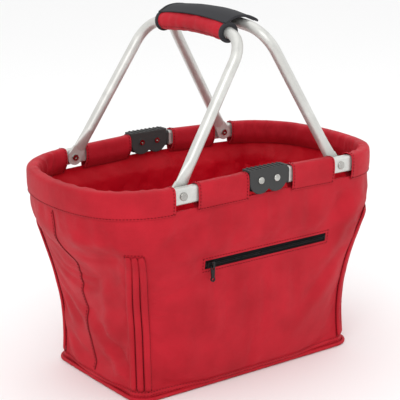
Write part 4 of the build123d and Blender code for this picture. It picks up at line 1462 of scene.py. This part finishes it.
@dataclass
class Grip:
    """Padded wrap on the left handle, its bindings, and the hook and loop flap over the right handle."""

    pivot: Vector = field(default_factory=lambda: Vector((-0.130, 0, 0.279132)))
    lean: float = math.radians(33)
    rise: float = 0.228
    crown: float = 0.500
    half: float = 0.078
    binding: float = 0.006
    foam: tuple[float, float] = (0.0076, 0.0114)
    wrap: float = 0.0130
    hook_angles: Point = (35, 100)
    flap: tuple[Point, ...] = ((-0.0095, 0.0126), (0.0040, 0.0190), (0.0180, 0.0208), (0.0330, 0.0186), (0.0470, 0.0130))
    flap_thick: float = 0.0020

    @property
    def up(self) -> Vector:
        """The direction in which the handle's legs rise."""
        return Vector((math.sin(self.lean), 0, math.cos(self.lean)))

    @property
    def across(self) -> Vector:
        """The direction square to the handle's own plane, towards the other handle."""
        return Vector((math.cos(self.lean), 0, -math.sin(self.lean)))

    def station(self, along: float) -> tuple[Vector, Vector]:
        """The tube's centre at a distance along the crown, and the direction out of its bend."""
        angle = along / self.crown
        out = Vector((0, 1, 0)) * math.sin(angle) + self.up * math.cos(angle)
        return self.pivot + self.up * (self.rise - self.crown) + out * self.crown, out

    def skin(self, along: float, angle: float, radius: float) -> Vector:
        """A point round the grip; angle 0 faces the other handle and a quarter turn faces up."""
        centre, out = self.station(along)
        return centre + (self.across * math.cos(angle) + out * math.sin(angle)) * radius

    def build(self, stitching: Stitching) -> None:
        """Make every piece of the grip."""
        self._tube("grip_foam", "grip_foam", lambda s, a: self.foam[1] - 0.0002, self.half - 0.002, 30, FOAM,
                   self.foam[1] - self.foam[0])
        self._tube("grip_wrap", "grip_wrap", self._wrap_radius, self.half - self.binding + 0.0005, 110, POLYESTER,
                   0.0011)
        for label, way in (("front", -1), ("back", 1)):
            self._binding(label, way)
        self._hook_tape()
        self._flap()
        seam = [(self.skin(s, math.radians(250), self._wrap_radius(s, math.radians(250)) + 0.0002),
                 self.skin(s, math.radians(250), 1) - self.skin(s, math.radians(250), 0))
                for s in [self.half * (i / 40 - 1) * 0.9 for i in range(81)]]
        stitching.run("grip_stitches", "handle", seam)

    def _wrap_radius(self, along: float, angle: float) -> float:
        """Radius of the padded wrap: it pulls in at the bindings and wrinkles across."""
        end = ease(self.half - self.binding, self.half - self.binding - 0.012, abs(along))
        lumps = 0.0009 * noise.noise(Vector((along / 0.011, math.cos(angle) * 0.9, math.sin(angle) * 0.9)))
        seam = -0.0006 * math.exp(-(((math.degrees(angle) % 360) - 250) / 9) ** 2)
        return self.wrap - 0.0009 + 0.0011 * end + lumps * end + seam

    def _tube(
        self, name: str, node: str, radius: Callable[[float, float], float], half: float, stations: int,
        finish: Finish, thickness: float,
    ) -> None:
        """Make a round sleeve along the crown."""
        around = 36

        def place(row: int, column: int) -> Vector:
            """A point of the sleeve's skin."""
            along = half * (2 * row / (stations - 1) - 1)
            angle = 2 * math.pi * (column % around) / around
            return self.skin(along, angle, radius(along, angle))

        bm = loft(stations, around + 1, place, ring=True)
        face_outwards(bm, self.station(0)[0])
        piece = to_object(name, bm)
        thicken(piece, thickness)
        dress(piece, finish)
        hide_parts(node)
        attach(piece, "left_handle")

    def _binding(self, label: str, way: int) -> None:
        """Webbing folded over one end of the wrap."""
        around = 36
        half = self.half + 0.0002
        section = [(0.0012, 0.0080), (0.0002, 0.0100), (0.0, 0.0122), (0.0001, 0.0130), (0.0008, 0.0136), (0.0024, 0.0139), (0.0044, 0.0138),
                   (0.0057, 0.0134), (0.0060, 0.0127)]

        def place(row: int, column: int) -> Vector:
            """A point of the binding's skin."""
            inward, radius = section[row]
            angle = 2 * math.pi * (column % around) / around
            return self.skin(way * (half - inward), angle, radius)

        bm = loft(len(section), around + 1, place, ring=True)
        centre = self.station(way * (half - 0.003))[0]
        face_outwards(bm, centre)
        piece = to_object(f"grip_binding_{label}", bm)
        thicken(piece, 0.0008)
        dress(piece, WEBBING)
        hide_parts("grip_bindings")
        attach(piece, "left_handle")

    def _hook_tape(self) -> None:
        """The hook half of the closure, sewn on the wrap."""
        low, high = (math.radians(a) for a in self.hook_angles)

        def place(row: int, column: int) -> Vector:
            """A point of the tape's face."""
            angle = low + (high - low) * row / 8
            edge = min(row, 8 - row, column / 2, (60 - column) / 2)
            return self.skin((self.half - 0.009) * (column / 30 - 1), angle, self.wrap + 0.0010 + 0.0004 * min(1, edge))

        bm = loft(9, 61, place)
        face_outwards(bm, self.station(0)[0])
        piece = to_object("hook_tape", bm)
        thicken(piece, 0.0007)
        dress(piece, WEBBING)
        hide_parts("hook_tape")
        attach(piece, "left_handle")

    def flap_point(self, share: float, along: float, lift: float) -> Vector:
        """A point of the flap's sheet.

        Args:
            share: 0 at the sewn hem and 1 at the free edge.
            along: distance along the grip from its middle.
            lift: distance above the sheet's middle layer.

        Returns:
            The point.
        """
        knots = [(i / (len(self.flap) - 1), *p) for i, p in enumerate(self.flap)]
        x, z = through(knots, share)
        centre = self.station(0)[0]
        arch = along**2 / (2 * self.crown) * (0.9 - 0.25 * share)
        droop = 0.0035 * share**2 * ease(0.02, 0.078, -along) + 0.0012 * share * ripple(Vector((x, along, 0)), 0.04, 6)
        return Vector((centre.x + x, along, centre.z + z - arch - droop + lift))

    def _flap(self) -> None:
        """The flap, its bound edge and the loop tape under it."""
        def sheet(half: float, start: float, stop: float, lift: float) -> bmesh.types.BMesh:
            """A sheet that follows the flap's curve, with rounded outer corners."""
            def place(row: int, column: int) -> Vector:
                """A point of the sheet."""
                share = start + (stop - start) * row / 22
                rounding = 0.006 * (1 - math.sqrt(max(0.0, 1 - ease(0.82, 1.0, share) ** 2 * 0.9)))
                return self.flap_point(share, (half - rounding) * (column / 30 - 1), lift)

            bm = loft(23, 61, place)
            bm.normal_update()
            if sum(f.normal.z for f in bm.faces) < 0:
                bmesh.ops.reverse_faces(bm, faces=bm.faces)
            return bm

        flap = to_object("grip_flap", sheet(self.half, 0.0, 1.0, self.flap_thick / 2))
        thicken(flap, self.flap_thick)
        edge = flap.modifiers.new("edge", "BEVEL")
        edge.width, edge.segments, edge.limit_method = 0.0006, 2, "ANGLE"
        dress(flap, WEBBING)
        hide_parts("grip_flap")
        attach(flap, "flap")
        loop = to_object("loop_tape", sheet(self.half - 0.007, 0.30, 0.97, -self.flap_thick / 2 - 0.0004))
        thicken(loop, 0.0009)
        dress(loop, WEBBING)
        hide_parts("loop_tape")
        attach(loop, "flap")
        self._flap_binding()

    def _flap_binding(self) -> None:
        """A narrow tape folded over the flap's free edges."""
        half, wide = self.half, 0.005
        path = [(s / 20, -1.0) for s in range(21)] + [(1.0, c / 30 - 1) for c in range(1, 60)]
        path += [(1 - s / 20, 1.0) for s in range(21)]
        lift = self.flap_thick / 2 + 0.0005

        def place(row: int, column: int) -> Vector:
            """A point of the tape: from the top face over the edge to the under face."""
            share, end = path[column]
            rounding = 0.006 * (1 - math.sqrt(max(0.0, 1 - ease(0.82, 1.0, share) ** 2 * 0.9)))
            inward = (wide, wide * 0.5, 0.0004, -0.0007, 0.0004, wide * 0.5, wide)[row]
            height = (lift, lift + 0.0001, lift, 0.0, -lift, -lift, -lift)[row]
            along = end * (half - rounding)
            back = inward * (1 if abs(end) < 1 or 0.97 < share else 0) / 0.057
            if abs(end) == 1:
                along -= math.copysign(inward, end)
            return self.flap_point(min(1.0, share) - max(0.0, back), along, height) + Vector(
                (0.0007 if back < 0 else 0, 0, 0))

        bm = loft(7, len(path), place)
        bm.normal_update()
        top = [f for f in bm.faces if f.calc_center_median().z > 0]
        if top and top[0].normal.z < 0:
            bmesh.ops.reverse_faces(bm, faces=bm.faces)
        piece = to_object("flap_binding", bm)
        thicken(piece, 0.0005, 0.0)
        dress(piece, WEBBING)
        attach(piece, "flap")


# ------------------------------------------------------------------ frame, end seams and studio


@dataclass(frozen=True)
class MetalFrame:
    """Finishes for the CAD nodes that are carried over as they are."""

    finishes: tuple[tuple[str, Finish], ...] = (
        ("rim_tube", ALUMINIUM), ("handle_rivets", RIVET), ("handle_washers", RIVET), ("handle_", ALUMINIUM),
        ("hinge_rivets", RIVET), ("hinge_", NYLON), ("zip_slider", ZIP), ("zip_pull", ZIP),
    )

    def dress(self) -> None:
        """Give every carried-over node the first finish whose name it starts with."""
        for name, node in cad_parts.items():
            finish = next((f for start, f in self.finishes if name.startswith(start)), None)
            if finish is None:
                continue
            node.data.materials.clear()
            node.data.materials.append(finish.material())
            LOG.info("dressed %s as %s", name, finish.name)


@dataclass
class EndSeams:
    """The raised seam down the middle of each end wall."""

    low: float = 0.014
    high: float = 0.249
    stations: int = 120
    half_width: float = 0.0016
    rise: float = 0.0011
    keep: float = 0.14

    def build(self, tree: BVHTree, stitching: Stitching) -> None:
        """Make the seam of each end wall and its stitches."""
        for side in Side:
            def place(row: int, column: int, side: Side = side) -> Vector:
                """A point of the seam's ridge."""
                height = self.low + (self.high - self.low) * row / (self.stations - 1)
                share = column / 6
                across = self.half_width * (2 * share - 1)
                at, normal = on_wall(tree, Vector((side.value * 0.2, across, height)), Vector((side.value, 0, 0)))
                return at + normal * (self.rise * math.sin(math.pi * share) - 0.0003)

            bm = loft(self.stations, 7, place)
            bm.normal_update()
            if sum(f.normal.x for f in bm.faces) * side.value < 0:
                bmesh.ops.reverse_faces(bm, faces=bm.faces)
            piece = dress(to_object(f"end_seam_{side.label}", bm), THREAD)
            thicken(piece, 0.0005)
            fold_with(piece, side, self.keep)
            line = [
                on_wall(tree, Vector((side.value * 0.2, 0.0036, z / 1000)), Vector((side.value, 0, 0)), 0.0003)
                for z in range(16, 249, 2)
            ]
            stitching.run("end_stitches", side.label, line)


@dataclass(frozen=True)
class Studio:
    """Pale floor, soft lights and the camera."""

    azimuth: float = math.radians(-35.5)
    elevation: float = math.radians(15.17)
    roll: float = math.radians(-0.75)
    distance: float = 1.8475
    target: tuple[float, float, float] = (0, 0, 0.2312)
    lens: float = 119.2
    shift: Point = (-0.0061, -0.0164)

    def build(self) -> None:
        """Set up everything round the basket."""
        bpy.context.scene.view_settings.view_transform = "Standard"
        self._floor()
        self._lights()
        self._camera()

    def _floor(self) -> None:
        """A wide pale floor."""
        bm = bmesh.new()
        bmesh.ops.create_grid(bm, x_segments=8, y_segments=8, size=6.0)
        floor = to_object("studio_floor", bm)
        material = bpy.data.materials.new("studio_white")
        material.use_nodes = True
        shader = material.node_tree.nodes["Principled BSDF"]
        shader.inputs["Base Color"].default_value = (0.93, 0.93, 0.93, 1)
        shader.inputs["Roughness"].default_value = 0.9
        floor.data.materials.append(material)
        floor.location.z = -0.0005

    @staticmethod
    def _lights() -> None:
        """A bright room and three large soft lamps."""
        world = bpy.data.worlds.new("studio")
        bpy.context.scene.world = world
        world.use_nodes = True
        world.node_tree.nodes["Background"].inputs["Color"].default_value = (1, 1, 1, 1)
        world.node_tree.nodes["Background"].inputs["Strength"].default_value = 1.0
        lamps = (
            ("key", (-1.5, -1.6, 1.9), 1.6, 17.0),
            ("fill", (1.9, -1.2, 1.3), 1.8, 3.0),
            ("top", (0.0, 0.4, 2.4), 2.0, 7.0),
        )
        for name, place, size, power in lamps:
            lamp = bpy.data.lights.new(name, "AREA")
            lamp.size = size
            lamp.energy = power
            holder = bpy.data.objects.new(name, lamp)
            bpy.context.scene.collection.objects.link(holder)
            holder.location = place
            aim = Vector((0, 0, 0.2)) - Vector(place)
            holder.rotation_euler = aim.to_track_quat("-Z", "Y").to_euler()

    def _camera(self) -> None:
        """The camera: a long lens that looks down on the basket's front left corner."""
        back = Vector((
            math.sin(self.azimuth) * math.cos(self.elevation),
            -math.cos(self.azimuth) * math.cos(self.elevation),
            math.sin(self.elevation),
        ))
        right = Vector((0, 0, 1)).cross(back).normalized()
        up = back.cross(right)
        turned_right = right * math.cos(self.roll) + up * math.sin(self.roll)
        turned_up = up * math.cos(self.roll) - right * math.sin(self.roll)
        lens = bpy.data.cameras.new("camera")
        lens.lens = self.lens
        lens.sensor_width = 36
        lens.shift_x, lens.shift_y = self.shift
        camera = bpy.data.objects.new("camera", lens)
        bpy.context.scene.collection.objects.link(camera)
        place = Matrix((turned_right, turned_up, back)).transposed().to_4x4()
        place.translation = Vector(self.target) + back * self.distance
        camera.matrix_world = place
        bpy.context.scene.camera = camera


def sew_up(stitching: Stitching) -> None:
    """Make the gathered stitches into pieces that move with their cloth."""
    for (name, key), bm in stitching.sewn.items():
        piece = to_object(f"{name}_{key}", bm)
        dress(piece, THREAD)
        if name == "sleeve_stitches":
            Sleeves()._ride(piece, Side[key.upper()])
        elif name == "grip_stitches":
            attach(piece, "left_handle")
        else:
            fold_with(piece, Side[key.upper()], 0.14)
        LOG.info("sewed %s", piece.name)


def main() -> None:
    """Build the basket's soft parts, finish its frame and light it."""
    logging.basicConfig(level=logging.INFO, format="%(message)s")
    stitching = Stitching()
    body = FabricBody()
    body.build()
    tree = BVHTree.FromBMesh(body.sheet)
    Floor().build()
    BasePiping().build(tree, stitching)
    CornerTucks().build(stitching)
    EndSeams().build(tree, stitching)
    Sleeves().build(stitching)
    ZipPocket(body).build(stitching)
    Grip().build(stitching)
    sew_up(stitching)
    MetalFrame().dress()
    Studio().build()


if __name__ == "__main__":
    main()
